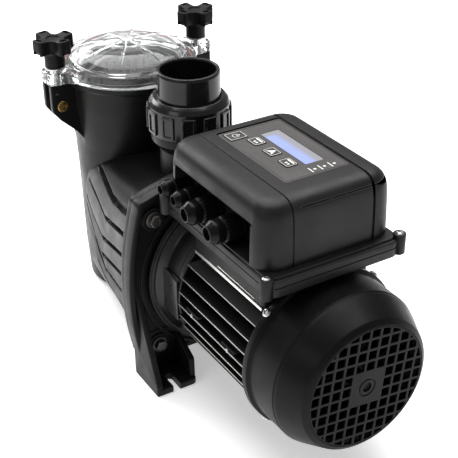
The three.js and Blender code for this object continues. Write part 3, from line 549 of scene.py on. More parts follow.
# ---- Pump housing ----
HOOD_FRONT = 489.4
HOOD_REAR = 300.0
HOOD_SIDES = 680
HOOD_EDGE_R = 9.0  # of the rounded end
HOOD_ROUNDING = 480.5  # where the rounded end begins
GROOVES = [  # on the hood's sides: (X, Z) points from the tip to the flange, half-width and depth
    ([(470, 189), (423, 189), (376, 187), (318, 197), (298, 200)], 4.8, 8.5),
    ([(474, 169), (432, 162), (397, 152), (339, 165), (298, 173)], 4.2, 8.0),
    ([(480, 146), (453, 127), (417, 114), (351, 131), (298, 143)], 4.0, 7.5),
    ([(484, 136), (469, 117), (451, 99), (424, 86), (357, 101), (298, 113)], 3.8, 7.0),
    ([(458, 98), (439, 82), (415, 69), (365, 75), (298, 84)], 3.4, 6.5),
    ([(448, 68), (424, 53), (385, 49), (298, 57)], 3.0, 6.0),
]


def distance_to_line(x, z, points):
    """How far each (x, z) lies from a broken line, and how far along it (0 to 1) the nearest point is."""
    best = np.full(x.shape, 1e9)
    share = np.zeros(x.shape)
    lengths = [math.dist(a, b) for a, b in zip(points, points[1:])]
    gone, total = 0.0, sum(lengths)
    for (a, b), length in zip(zip(points, points[1:]), lengths):
        d = np.array(b, float) - np.array(a, float)
        t = np.clip(((x - a[0]) * d[0] + (z - a[1]) * d[1]) / length ** 2, 0, 1)
        far = np.hypot(x - a[0] - t * d[0], z - a[1] - t * d[1])
        nearer = far < best
        share = np.where(nearer, (gone + t * length) / total, share)
        best = np.minimum(best, far)
        gone += length
    return best, share


def hood():
    """The volute hood: a rounded square widening to the flange, with chevron grooves down both sides."""
    turns = 2 * np.pi * np.arange(HOOD_SIDES) / HOOD_SIDES
    power = np.where(np.sin(turns) < 0, 8.0, 4.0)  # the lower corners are squarer
    reach = (np.abs(np.cos(turns)) ** power + np.abs(np.sin(turns)) ** power) ** (-1 / power)
    across, up = np.cos(turns) * reach, np.sin(turns) * reach
    on_side = np.clip((np.abs(across) - 0.45) / 0.15, 0, 1)
    rings = []
    for x in np.append(np.linspace(HOOD_REAR, 486, 187), [487, 488, 488.8, HOOD_FRONT]):
        spread = (490 - x) / 200
        drawn_in = HOOD_EDGE_R * (1 - math.sqrt(1 - (max(x - HOOD_ROUNDING, 0) / HOOD_EDGE_R) ** 2))
        half = 77.5 + 31.5 * spread - drawn_in
        top, bottom = 191 + 41 * spread ** 0.8 - drawn_in, 29 - 2 * spread + drawn_in
        y, z = half * across, (top + bottom) / 2 + (top - bottom) / 2 * up
        dip = np.zeros(HOOD_SIDES)
        for points, width, depth in GROOVES:
            far, share = distance_to_line(np.full(HOOD_SIDES, x), z, points)
            wide = width * (0.25 + 0.75 * np.clip(share * 2.5, 0, 1))
            cut = np.clip((wide - far) / 0.9 + 0.5, 0, 1) * np.clip(share * 8, 0, 1)
            below = np.interp(x, *zip(*points[::-1])) - z
            plate = np.clip(1 - below / 24, 0, 1) * (below > 0) * np.clip(share * 3, 0, 1)
            dip = np.maximum(dip, np.maximum(depth * cut, 2.4 * plate))
        y = y - np.sign(y) * dip * on_side
        rings.append(np.stack([np.full(HOOD_SIDES, x), y, z], 1))
    return skin(rings)


def quadratic(a, control, b, steps=16):
    a, control, b = (np.array(p, float) for p in (a, control, b))
    t = np.linspace(0, 1, steps + 1)[1:, None]
    return [tuple(p) for p in (1 - t) ** 2 * a + 2 * t * (1 - t) * control + t ** 2 * b]


FLANGE_BULGE = 2 * 122 - 110  # the sides' control point, for a reach of 122
FLANGE_CROWN = 2 * 126 - 109  # the top's, for a rise of 126
FLANGE_CURVES = (  # control point, end and steps, from the lower right corner round to the lower left one
    ((113, -103), (113, -93), 6), ((FLANGE_BULGE, 2), (107, 98), 28), ((107, 108), (97, 109), 6),
    ((0, FLANGE_CROWN), (-97, 109), 40), ((-107, 108), (-107, 98), 6), ((-FLANGE_BULGE, 2), (-113, -93), 28),
    ((-113, -103), (-103, -103), 6))


def flange_outline(scale=1.0):
    """The flange between the pump and the bracket, as (y, z) about the shaft, counterclockwise."""
    out = [(-103 * scale, -103 * scale), (103 * scale, -103 * scale)]
    for control, end, steps in FLANGE_CURVES:
        out += quadratic(out[-1], [c * scale for c in control], [c * scale for c in end], steps)
    return [(y, z + AXIS_Z) for y, z in out[:-1]]


def on_shaft(shape):
    return moved(shape, z=AXIS_Z)


def at_bolts(shape):
    return [moved(shape, y=y, z=z) for y, z in BOLT_PLACES]


def ear(side, x0):
    outline = filleted([(60, 200), (65.5, 200), (69, 213, 12), (82, 231, 30), (101, 249, 20), (110.5, 262, 9),
                        (110.5, POT_TOP, 1), (60, POT_TOP)], 1.0, 6)
    plate = prism(outline, x0, x0 + 7, "x", 1.0)
    return plate if side > 0 else mirrored(plate)


SUCTION_Z = 172
DRAIN_Z = 30


def housing():
    pot = spun([(0, 0), (60, 0, 2), (66, 6, 6), (69, 54, 30), (71, 165, 80), (72.5, 205, 60), (79, 262, 60),
                (80, 286.5, 1.5), (80.6, 288.4, 0.6), (84, 290, 1.2), (84, POT_TOP, 0.8), (0, POT_TOP)],
               FINE, steps=5)
    flange = prism(flange_outline(0.985), 290.3, 300.3, "x", 1.2)
    step = prism(inset(flange_outline(0.985), 7), 299, 304, "x", 2.0)
    tower = spun([(0, 150), (35.5, 150), (35, 250, 5), (45, 261, 3), (45, 271, 0.8), (38, 271), (38, 296.6),
                  (0, 296.6)])
    skirt = spun([(0, 180), (44, 180), (41, 203, 12), (36, 212, 4), (34, 216), (0, 216)])
    spigot = threaded(41, 1.5, 4, 270.5, 296.6, FINE)
    web = prism(filleted([(366, 190), (440, 190), (440, 257), (366, 257)], 2), -4, 4, "y", 1.2)
    boss = spun([(0, 500), (47.5, 500), (46, 560, 3), (46, 574, 2), (0, 574)], ROUND, "x")
    collar = ring_shape(44, 47.6, 561, 564.5, "x", 1.2)
    on_suction = [moved(shape, z=SUCTION_Z) for shape in (boss, collar)]
    drain = moved(rod(14, 500, 567, "x", SMALL, 1.2), z=DRAIN_Z)
    ears = [ear(side, x) for side in (-1, 1) for x in (485.5, 505.5)]
    foot = box(455, 543, -40, 40, 0, 9, 2, 6)
    on_union = [moved(shape, UNION_X) for shape in (tower, skirt, spigot)]
    solid = joined(moved(pot, POT_X), hood(), flange, step, *on_union, web, *on_suction, drain, foot, *ears)
    cavity = spun([(0, 10), (56, 10, 8), (64, 22, 10), (64, 284, 0.8), (72, 284, 0.3), (72, 297), (0, 297)],
                  FINE, steps=5)
    groove = ring_shape(74, 80, 292, 298, edge=0.3, sides=FINE)
    in_pot = [moved(shape, POT_X) for shape in (cavity, groove)]
    suction = moved(rod(29.8, 540, 575, "x", ROUND), z=SUCTION_Z)
    volute = on_shaft(spun([(0, 289), (78, 289), (78, 304), (70, 304), (70, 380, 6), (58, 386, 3), (0, 386)],
                           ROUND, "x"))
    eye = on_shaft(rod(27, 382, 449, "x", ROUND))
    discharge = moved(spun([(0, 165), (27, 165), (27, 297), (0, 297)]), UNION_X)
    nut_holes = [moved(rod(7.3, 480, 518, "x", SMALL), y=side * EAR_Y, z=267) for side in (-1, 1)]
    pin_holes = [moved(rod(2.2, 480, 518, "x", 16), y=side * 103, z=283) for side in (-1, 1)]
    bolts = at_bolts(rod(5.2, 286, 306, "x", 24))
    drain_hole = moved(rod(7.35, 554, 568, "x", 24), z=DRAIN_Z)
    o_groove = moved(ring_shape(30, 35, 294.4, 298, edge=0.2), UNION_X)
    return carved(solid, *in_pot, suction, volute, eye, discharge, o_groove, *nut_holes, *pin_holes, *bolts,
                  drain_hole)


of_slot("housing", housing(), "housing_black", replaces=("pump_housing",))
for label, side in SIDES:
    pin = spun([(0, 298), (5.4, 298), (5.4, 304.4, 3.4), (0, 305.4)], SMALL, "x", 5)
    of_slot(f"flange_pin.{label}", moved(pin, y=side * 95, z=225), "stainless")
of_slot("lid_seal", moved(o_ring(77, 2.0, 294.2), POT_X), "seal_red", replaces=("lid_o_ring",))
of_slot("union_seal", moved(o_ring(32.5, 1.9, 295.3), UNION_X), "seal_rubber", replaces=("discharge_o_ring",))


# ---- Bracket with its feet, and the flange bolts ----
def bracket():
    outline = flange_outline()
    bosses = at_bolts(spun([(0, 270), (14.5, 270), (13, 279), (0, 279)], SMALL, "x", 3))
    ring = on_shaft(ring_shape(104, 108, 270, 279, "x", 0.8, FINE))
    recess = carved(prism(inset(outline, 6), 272, 277.2, "x", 0.8), *bosses, ring)
    plate = carved(prism(outline, 274, 290, "x", 1.6), recess)
    base = box(232, 290, 62, 114, 0, 9, 1.5, 5)
    low_plate = box(276, 290, 62, 114, 2, 60, 1.2, 2)
    outer = prism(filleted([(232.5, 0), (289, 0), (289, 118), (279, 118, 4), (233, 13, 5)], 1, 4), 106.5, 114,
                  "y", 1.3)
    inner = prism(filleted([(236, 0), (289, 0), (289, 58), (272, 52, 10), (237, 34, 6)], 1, 4), 62, 69, "y", 1.3)
    slot = joined(box(225, 252, 84.2, 93.8, -2, 20), moved(rod(4.8, -2, 20), 252, 89))
    foot = carved(joined(base, low_plate, outer, inner), slot)
    solid = joined(plate, mirrored(foot), foot)
    shaft_hole = on_shaft(rod(30, 260, 300, "x", ROUND))
    return carved(solid, shaft_hole, *at_bolts(rod(5.2, 260, 300, "x", 24)))


def flange_bolt():
    washer = ring_shape(4.9, 9.6, 272.2, 273.7, "x", 0.4, SMALL)
    head = prism(hex_outline(13, 0.8), 266.8, 272.2, "x", 0.7)
    dish = rod(4.2, 265, 267.4, "x", 24)
    shank = rod(4.7, 270, 299, "x", 24, 0.5)
    return together([washer, joined(carved(head, dish), shank)])


of_slot("bracket", bracket(), "housing_black", replaces=("motor_bracket",))
for number, bolt in enumerate(at_bolts(flange_bolt()), 1):
    made(f"flange_bolt.{number}", bolt, BOLT, replaces=(f"flange_bolt_{number}",))


# ---- Lid, basket, knobs and their nuts ----
def lid():
    dome = spun([
        (0, 329), (20, 328.4, 60), (46, 325, 60), (66, 319.2, 30), (72, 313.6, 6), (82, 312.2, 3), (85, 310, 1.8),
        (85, 303.5, 1), (83.8, 302.6, 0.6), (83.8, 299, 0.6), (85, 298, 1), (85, 296.3, 0.6), (71.4, 296.3, 0.4),
        (71.4, 288.8, 0.5), (67, 288.8, 0.5), (67, 306, 5), (60, 313, 10), (42, 319.6, 60), (0, 324)],
        FINE, steps=5)
    hub = spun([(0, 326), (9.5, 326), (9.5, 329.6, 1.0), (7, 330.4, 0.8), (0, 330.4)], steps=3)
    rib = prism([(8, 326), (64, 316.5), (64, 320.8), (58, 323.2), (46, 327.0), (20, 330.2), (8, 330.6)], -1.7,
                1.7, "y", 0.6)
    outline = filleted([(-40, 66), (40, 66), (19, 88, 10), (15.5, 112.5, 9), (-15.5, 112.5, 9), (-19, 88, 10)],
                       2, 6)
    pad = joined(prism(outline, 296.3, 309.4, "z", 1.2), moved(rod(12.5, 300, 312.9, "z", ROUND, 1.0), 0, EAR_Y))
    solid = joined(dome, hub, *around(rib, 8, start=11), turned(pad, 180), pad)
    holes = [moved(rod(5.1, 290, 320), 0, side * EAR_Y) for side in (-1, 1)]
    return moved(carved(solid, *holes), POT_X)


def basket():
    shell = spun([(0, 26), (54, 26, 1.5), (56, 28, 1.5), (61.5, 284.3, 0.6), (71.3, 284.3, 0.6),
                  (71.3, 288.2, 0.8), (58.8, 288.2, 0.8), (53.4, 29, 1), (0, 29)], 96, steps=3)
    bands = [ring_shape(r, r + 2.4, z, z + 3, edge=0.6, sides=96)
             for r, z in ((57.2, 96), (58.3, 150), (59.3, 204), (60.3, 252))]
    slots = []
    for low, high in ((42, 92), (101, 146), (155, 200), (209, 248), (256, 274)):
        slots += around(box(50, 66, -2.1, 2.1, low, high, 0.8, 0.8), 36, start=5)
    holes = []
    for radius, count in ((14, 8), (26, 14), (38, 20), (48, 26)):
        holes += around(moved(rod(2.3, 24, 31, sides=12), radius), count)
    inlet = moved(rod(30, 40, 70, "x", ROUND), z=SUCTION_Z)
    shell = carved(joined(shell, *bands), together(slots), together(holes), inlet)
    top = np.array(curve_through([(-59.5, 286), (-46, 301), (-24, 309.5), (0, 311.5), (24, 309.5), (46, 301),
                                  (59.5, 286)], 6))
    arch = [tuple(p) for p in top - [0, 2.2]] + [tuple(p) for p in (top + [0, 2.2])[::-1]]
    handle = prism(arch, -4, 4, "x", 0.9)
    grip = prism(filleted([(-17, 306.5), (17, 306.5), (17, 313.2), (-17, 313.2)], 2), -6, 6, "x", 1.5)
    return moved(joined(shell, handle, grip), POT_X)


KNOB_LOBE = 8.6  # half a lobe's width
KNOB_TIP = 25.3
KNOB_ROOT = 20.8  # where a lobe meets the concave sides
KNOB_WAIST = 4.0  # how far those sides are pulled in


def knob_outline():
    """Four square-ended lobes joined by concave sides."""
    lobe = [(KNOB_ROOT, -KNOB_LOBE)]
    lobe += filleted([(18, -KNOB_LOBE), (KNOB_TIP, -KNOB_LOBE + 0.5, 4), (KNOB_TIP, KNOB_LOBE - 0.5, 4),
                      (18, KNOB_LOBE)], 0, 6, closed=False)[1:-1]
    lobe.append((KNOB_ROOT, KNOB_LOBE))
    side = quadratic(lobe[-1], (KNOB_WAIST, KNOB_WAIST), (KNOB_LOBE, KNOB_ROOT), 14)[:-1]
    quarter = np.array(lobe + side)
    turns = [np.array([[c, s], [-s, c]]) for c, s in ((1, 0), (0, 1), (-1, 0), (0, -1))]
    return np.concatenate([quarter @ t for t in turns])


def knob():
    head = prism(knob_outline(), 334, 352, "z", 1.9, 5)
    hub = spun([(0, 315.3), (12.2, 315.3, 0.8), (12.2, 331, 3), (15, 336), (0, 336)])
    dish = spun([(0, 348.2), (7.5, 348.4, 2), (10.5, 353), (0, 353)], steps=5)
    scallop = moved(rod(30, -30, 30, "y", 96), z=380.2)
    scallops = [turned(scallop, turn) for turn in (45, 135)]
    under = around(moved(rod(6.5, -6, 6, "y", SMALL), 27.5, 0, 333.2), 4)
    pockets = around(box(17.6, 22.6, -4.6, 4.6, 349.6, 353, 0.8, 1.6), 4)
    solid = carved(joined(head, hub), dish, *scallops, *under, *pockets)
    return turned(carved(solid, rod(4.9, 314, 342)), 14)


of_slot("lid_shell", lid(), "lid_clear", "lid", ("lid",))
of_slot("basket_shell", basket(), "basket_plastic", "basket", ("strainer_basket",))
for label, side in SIDES:
    place = {"x": POT_X, "y": side * EAR_Y}
    of_slot(f"knob.{label}", moved(knob(), **place), "knob_black", f"knob_{label}", (f"knob_{label}",))
    of_slot(f"stud.{label}", moved(threaded(4.6, 0.45, 1.5, 252, 341.7, 24), **place), "stainless",
            f"knob_{label}", (f"stud_{label}",))
    of_slot(f"washer.{label}", moved(ring_shape(4.9, 13.0, 313.3, 315.0, edge=0.35, sides=SMALL), **place),
            "stainless", f"washer_{label}", (f"knob_washer_{label}",))
    nut = carved(rod(7, -14, 14, "x", SMALL, 0.6), rod(4.95, -10, 10, "z", 24), box(12.6, 15, -5, 5, -0.8, 0.8),
                 box(-15, -12.6, -5, 5, -0.8, 0.8))
    of_slot(f"barrel_nut.{label}", moved(nut, z=267, **place), "brass", replaces=(f"barrel_nut_{label}",))


# ---- Discharge union ----
def union_nut():
    body = spun([(41.35, 271.4, 0.4), (47, 271.4, 0.8), (47, 304, 2), (44.6, 308.6, 3), (41, 312, 1.2),
                 (36.85, 312, 0.6), (36.85, 303.9, 0.3), (41.35, 303.9, 0.3)], FINE, ring=True)
    panel = prism(rectangle(-8.2, 8.2, 274, 300.5, 1.6, 4), 45, 48.8, "x", 0.9)
    pocket = prism(rectangle(-5.0, 5.0, 277.2, 297.3, 0.8, 3), 47.5, 50, "x")
    return moved(joined(body, *around(carved(panel, pocket), 12)), UNION_X)


def tail():
    return moved(spun([
        (27, 296.9, 0.5), (40.9, 296.9, 0.5), (40.9, 303.6, 0.6), (36.5, 303.6, 0.8), (36.5, 339.5, 1.2),
        (35.4, 342.7, 1.0), (32.3, 342.7, 0.8), (31.6, 340.5, 0.6), (31.6, 308, 0.4), (27, 308, 0.4)],
        FINE, ring=True), UNION_X)


of_slot("union_nut", union_nut(), "union_black", "union_nut", ("discharge_union_nut",))
of_slot("tail_pipe", tail(), "union_black", "tail", ("discharge_tail",))


# ---- Drain plug ----
def drain_plug():
    head = prism(polar(lambda t: 11 + 0.5 * math.cos(12 * t), 96), 569, 574, "x", 0.8)
    grip = box(572, 578.5, -2.4, 2.4, -9, 9, 0.8, 1.0)
    shank = turned(threaded(7, 0.6, 1.5, 0, 9.6, 24), 90, "y")
    return moved(joined(head, grip, moved(shank, 560.2)), z=DRAIN_Z)


of_slot("drain_plug_body", drain_plug(), "knob_black", "drain_plug", ("drain_plug",))
of_slot("drain_seal_ring", moved(ring_shape(7.35, 10.5, 567.3, 568.7, "x", 0.5, SMALL), z=DRAIN_Z),
        "seal_rubber", "drain_seal", ("drain_seal",))


# ---- Motor ----
FIN_TIP = 87.0  # radii about the shaft
FIN_ROOT = 69.0
FIN_PITCH = 15.5
SIDE_FINS = [FIN_PITCH * k for k in range(-3, 4)]  # heights about the shaft
UNDER_FINS = [FIN_PITCH * k for k in range(-2, 3)]
PAD_SCREW_X = (124, 197.5)
SHIELD_SCREWS = (45, 135, 225, 315)  # degrees round the shaft
SHIELD_SCREW_X = 80.5


def reach(r, position):
    """How far out a circle of radius r is at a height above its centre."""
    return math.sqrt(r ** 2 - position ** 2)


def fin(position):
    """A fin's cross-section: (distance out, height) from its root to a thin rounded tip."""
    low, high = reach(FIN_ROOT, position), reach(FIN_TIP, position)
    return [(low, position - 1.7), (high - 1.2, position - 0.95), (high - 0.3, position - 0.6), (high, position),
            (high - 0.3, position + 0.6), (high - 1.2, position + 0.95), (low, position + 1.7)]


def fin_tip_highlights():
    """Painted highlights along the fins' tips: thin pale metal strips just proud of the paint."""
    strips = []
    for height in SIDE_FINS:
        tip = reach(FIN_TIP, height)
        strip = on_shaft(box(89, 225.6, tip - 0.5, tip + 0.12, height - 0.75, height + 0.75, 0.25))
        strips += both(strip)
    for y in UNDER_FINS:
        tip = AXIS_Z - reach(FIN_TIP, y)
        strips.append(box(89, 225.6, y - 0.75, y + 0.75, tip - 0.12, tip + 0.5, 0.25))
    return together(strips)


def frame_with_fins():
    barrel = on_shaft(ring_shape(63, 70, 86.5, 227.6, "x", 0.6, FINE))
    fins = []
    for height in SIDE_FINS:
        fins += both(on_shaft(prism(fin(height), 88, 226.6, "x", 0.8)))
    for across in UNDER_FINS:
        fins.append(on_shaft(prism([(y, -z) for z, y in fin(across)][::-1], 88, 226.6, "x", 0.8)))
    for y in (-38, 38):
        fins.append(box(90, 224, y - 3.5, y + 3.5, AXIS_Z + 50, 218.4, 1.0))
    pads = []
    for x0, x1 in ((110, 138), (183, 212)):
        pads += both(box(x0, x1, 68, 85.6, AXIS_Z - 4.5, AXIS_Z + 4.5, 1.4, 3))
    taps = [moved(rod(1.7, -88, 88, "y", 16), x, z=AXIS_Z) for x in PAD_SCREW_X]
    return carved(joined(barrel, *fins, *pads), *taps)


def front_shield():
    rim = lathe(filleted([(62.9, 228.4), (84, 228.4, 1.5), (84.6, 262, 6), (91, 267.2, 2), (92.5, 268.6, 0.4),
                          (95.5, 268.6, 0.8), (96, 270.4, 0.4), (98.8, 270.4, 0.6), (99, 273.7, 0.3), (62, 273.7),
                          (62, 240), (62.9, 240)], 0.3, 4), FINE, "x", ring=True)
    web = ring_shape(20, 64, 262, 273.7, "x", 0.6)
    seam = ring_shape(83.2, 85, 236.2, 237.2, "x", 0.2, FINE)
    flats = [box(231, 262, side * 83 - 3, side * 83 + 3, -26, 26, 1.2, 1) for side in (-1, 1)]
    return on_shaft(joined(carved(rim, seam), web, *flats))


def rear_shield():
    rim = filleted([(22, 71), (84.5, 71), (84.5, 85.6), (62.9, 85.6), (62.9, 80), (22, 80)], 0.8)
    return on_shaft(lathe(rim, FINE, "x", ring=True))


GRILLE_PITCH = 12.7
GRILLE_HALF = 4.9  # half a hole
GRILLE_R = 67.5
GRILLE_TILT = 6.5  # degrees that the grid is turned round the shaft


def fan_cover():
    """The fan cover: lip, band, crease and cone round a flat grille of square holes with a solid middle."""
    shell = spun([
        (0, 0), (70.0, 0, 2.4), (75.6, 3.6, 3), (88.0, 31, 3), (88.4, 33.4, 0.5), (89.3, 34.6, 0.8),
        (89.8, 73.6, 0.8), (93.3, 76.0, 1.4), (93.3, 83.7, 1.0), (91.2, 83.9, 0.4), (91.2, 78.2, 1.0),
        (87.4, 74.8, 1), (86.4, 33.6, 2), (71.6, 4.4, 1.5), (69, 3.2, 1), (0, 3.2)], FINE, "x")
    holes = []
    half = GRILLE_HALF
    for col in range(-5, 6):
        for row in range(-5, 6):
            y, z = col * GRILLE_PITCH, row * GRILLE_PITCH
            nearest = math.hypot(max(abs(y) - half, 0), max(abs(z) - half, 0))
            if max(abs(col), abs(row)) > 1 and nearest < GRILLE_R - 2:
                holes.append(prism(rectangle(y - half, y + half, z - half, z + half, 0.8, 3), -2, 6, "x"))
    disc = rod(GRILLE_R, -3, 7, "x", FINE)
    openings = common(disc, turned(together(holes), GRILLE_TILT, "x"))
    moat = ring_shape(8.6, 10.4, -1, 1.0, "x", 0.3)
    pit = spun([(0, -1), (5.6, -1), (5.0, 2.4, 0.6), (0, 2.4)], SMALL, "x", 3)
    rim = ring_shape(68.6, 69.5, -1, 0.5, "x", 0.2, FINE)
    tap = moved(rod(2.7, 84, 96, "y", 24), SHIELD_SCREW_X)
    screws = [turned(tap, degrees, "x") for degrees in SHIELD_SCREWS]
    return on_shaft(carved(shell, openings, moat, pit, rim, *screws))


def fan_screw(degrees):
    """A cover screw lying along +Y, swung round the shaft."""
    head = moved(turned(cross_head(4.9, 2.9), -90, "x"), SHIELD_SCREW_X, 93.1)
    return on_shaft(turned(head, degrees, "x"))


def cooling_fan():
    rim = filleted([(9.1, 22), (15, 22, 1.5), (15, 46), (66, 46, 0.8), (66, 49, 0.8), (9.1, 49)], 0.3, 3)
    blade = prism(rectangle(13, 63, -1.1, 1.1, 0.6, 3), 25, 47, "x", 0.8)
    return on_shaft(joined(lathe(rim, ROUND, "x", ring=True), *around(blade, 7, "x", 12)))


# the frame wears the darker fin paint, which stands in for the shade between the fins
made("finned_frame", frame_with_fins(), SHADED_FIN_PAINT, replaces=("motor_frame",))
# painted highlight strips along the fin tips
made("fin_tip_highlights", fin_tip_highlights(), TIP_HIGHLIGHT)
of_slot("front_shield", front_shield(), "motor_black", replaces=("front_end_shield",))
of_slot("rear_shield", rear_shield(), "motor_black", replaces=("rear_end_shield",))
of_slot("fan_shroud", fan_cover(), "fan_cover_black", replaces=("fan_cover",))
of_slot("fan", cooling_fan(), "fan_cover_black", "rotor", ("cooling_fan",))
for number, degrees in enumerate(SHIELD_SCREWS, 1):
    of_slot(f"cover_screw.{number}", fan_screw(degrees), "stainless", replaces=(f"fan_cover_screw_{number}",))
for number, (side, x) in enumerate([(s, x) for s in (-1, 1) for x in PAD_SCREW_X], 1):
    screw = turned(cross_head(2.6, 1.6), -90 * side, "x")
    of_slot(f"pad_screw.{number}", moved(screw, x, side * 85.6, AXIS_Z), "stainless")


# ---- Controller ----
def pedestal():
    body = box(88, 226, -65, 65, 186, 222.7, 0.8, 6, 5)
    hollow = box(94, 220, -59, 59, 180, 219, 1, 4)
    seat = rod(70.4, 80, 240, "x", FINE)
    return carved(body, hollow, on_shaft(seat))


def pedestal_highlight_strip():
    """Bright metal strips that paint in highlights: the bright line along the pedestal's glossy lower edge under
    each side of the tray, and a fainter line above it.
    """
    return together(both(box(90, 222, 64.4, 66.4, 186.6, 190.4, 0.7))
                    + both(box(104, 176, 64.4, 65.8, 193.4, 194.4, 0.4)))


TRAY_CORNERS = [(x, y) for x in (61.6, 258.2) for y in (-80, 80)]


def at_corners(shape):
    return [moved(shape, x, y) for x, y in TRAY_CORNERS]


def tray():
    plate = box(55.6, 264.2, -80, 80, 223.2, 241.5, 1.4, 13, 8)
    step = box(59.5, 262, -78, 78, 240.6, 244, 0.6, 12, 8)
    lugs = at_corners(rod(6.8, 223.2, 245.8, "z", SMALL, 0.9))
    within = box(56.4, 263.4, -79.2, 79.2, 230, 238, 0, 12.4, 8)
    line = carved(carved(box(50, 270, -90, 90, 233.2, 234.2), within), *at_corners(rod(8, 230, 238)))
    return carved(carved(joined(plate, step, *lugs), line), *at_corners(rod(2.3, 240, 250)))


CASE_FOOT = 244.3
CASE_RINGS = (  # heights, and how far in the outline is drawn at each
    (262, 0.2), (280, 0.7), (292, 1.3), (298, 2.0), (302.5, 3.2), (306, 4.9), (308.8, 7.2), (310.8, 10.0),
    (312.1, 13.5), (312.8, 17.5), (313, 22))


def rounded_case(foot, under=0.0):
    """A rounded rectangle drawing in to a domed top, kept a little under the cover's own surface."""
    rings = []
    for z, d in ((foot, 0), *CASE_RINGS):
        d += under
        outline = rectangle(67.6 + d, 260 - d, -79.5 + d, 79.5 - d, 24 - 0.6 * d, 10)
        rings.append(np.array([(x, y, z - under) for x, y in outline]))
    return skin(rings)


def case_cover():
    recess = box(92, 238, 56, 100, 240, 289, 0, 3, 5)
    band = box(89, 241, 77.4, 100, 287, 298.6, 0, 1, 5)
    shoulder = box(228, 275, 56, 100, 240, 272, 0, 2)
    hollow = box(71, 256.6, -76, 53, 240, 305.5, 3, 20, 8)
    panel = box(106, 236.4, -48.5, 30, 311.2, 316, 0, 3.5, 5)
    body = carved(rounded_case(CASE_FOOT), recess, band, shoulder, hollow, panel)
    lines = [carved(box(60, 270, y - wide, y + wide, 240, 320), rounded_case(238, deep))
             for y, wide, deep in ((-50.2, 1.6, 1.8), (45, 0.9, 1.0))]
    return carved(body, *lines)


KEYS = {"key_power": (220.5, 15, 17, 21), "key_down": (198, 3.5, 17, 14), "key_menu": (169, 3.5, 17, 14),
        "key_up": (140.5, 3.5, 17, 14)}  # centre X and Y, length and width


def key_size(x, y, long, wide, more=0.0):
    """A key's four limits, moved outwards by more."""
    return x - long / 2 - more, x + long / 2 + more, y - wide / 2 - more, y + wide / 2 + more


def keypad():
    plate = box(106.4, 233.6, -48.1, 29.6, 311.0, 312.75, 0.2, 3.2, 5)
    window = box(128.6, 211.4, -32.4, -9.6, 312.3, 315, 0, 1.2)
    groove = carved(box(108.6, 231.4, -46, 27.5, 312.5, 314, 0, 2),
                    box(109.2, 230.8, -45.4, 26.9, 312, 315, 0, 1.6))
    wells = [box(*key_size(*size, 0.5), 311.4, 315, 0, 2) for size in KEYS.values()]
    return carved(plate, window, groove, *wells)


PRINT_LOW, PRINT_HIGH = 313.4, 313.62  # printed marks stand just proud of the key tops


def printed(outline):
    return prism(outline, PRINT_LOW, PRINT_HIGH)


def print_frame(x0, x1, y0, y1, line=0.5):
    inner = rectangle(x0 + line, x1 - line, y0 + line, y1 - line, 1.0)
    return carved(printed(rectangle(x0, x1, y0, y1, 1.4)), prism(inner, PRINT_LOW - 1, PRINT_HIGH + 1))


def key_mark(name, x, y, long, wide):
    """The pale outline printed round a key's top, and the key's generic sign."""
    border = print_frame(*key_size(x, y, long, wide, -0.8))
    if name == "key_power":
        ring = moved(ring_shape(3.2, 3.9, PRINT_LOW, PRINT_HIGH, edge=0.05, sides=SMALL), x, y)
        gap = box(x - 1.3, x + 1.3, y - 6, y - 1.5, PRINT_LOW - 1, PRINT_HIGH + 1)
        bar = printed(rectangle(x - 0.5, x + 0.5, y - 5.2, y - 0.6))
        return together([border, carved(ring, gap), bar])
    if name == "key_menu":
        return together([border, printed([(x, y - 4.9), (x + 5.4, y + 4.6), (x, y + 2.2), (x - 5.4, y + 4.6)])])
    bar = printed(rectangle(x - 5.6, x + 5.6, y - 4.6, y - 2.4, 0.4))
    signs = [printed(rectangle(x + at - 1.1, x + at + 1.1, y + 0.4, y + 3.2, 0.3)) for at in (-3.2, 0.6)]
    return together([border, bar, *signs])


def status_marks():
    """Three small lamps at the keypad's end, with a plain bar beside each."""
    marks = []
    for y in (-11.5, -23, -35):
        lamp = spun([(0, 312.6), (1.7, 312.6), (1.7, 313.1, 0.3), (0, 313.3)], 24, steps=3)
        marks += [moved(lamp, 115.5, y), box(110.5, 120.5, y + 4.4, y + 5.6, 312.6, 312.95, 0, 0.3, 5)]
    return together(marks)


of_slot("pedestal", pedestal(), "case_charcoal", replaces=("controller_pedestal",))
# painted highlight strips along the pedestal's lower edge
made("pedestal_highlight_strip", pedestal_highlight_strip(), HIGHLIGHT_METAL)
of_slot("tray", tray(), "case_charcoal", replaces=("controller_tray",))
of_slot("controller_shell", case_cover(), "case_charcoal", replaces=("controller_cover",))
of_slot("keypad", keypad(), "keypad_grey", replaces=("keypad_panel",))
of_slot("display", box(129, 211, -32, -10, 311.9, 312.6, 0.15, 1.0), "display_blue", replaces=("display_window",))
for name, size in KEYS.items():
    of_slot(f"{name}_cap", box(*key_size(*size), 312.3, 313.5, 0.5, 2.2), "key_grey", name, (name,))
    made(f"{name}_mark", key_mark(name, *size), PRINT, name)
made("status_marks", status_marks(), PRINT)
for number, screw in enumerate(at_corners(moved(cross_head(4.3, 2.6), z=244.6)), 1):
    of_slot(f"tray_screw.{number}", screw, "stainless")


# ---- Cable glands ----
def gland_body(stub, hexagon):
    """The hexagon and stub behind a cap, drawn along +Y from the case wall."""
    nut = prism(hex_outline(hexagon, 1.2), 56.4, 61.4, "y", 0.7)
    neck = rod(stub, 50, 80, "y", SMALL, 0.5)
    return joined(nut, neck)


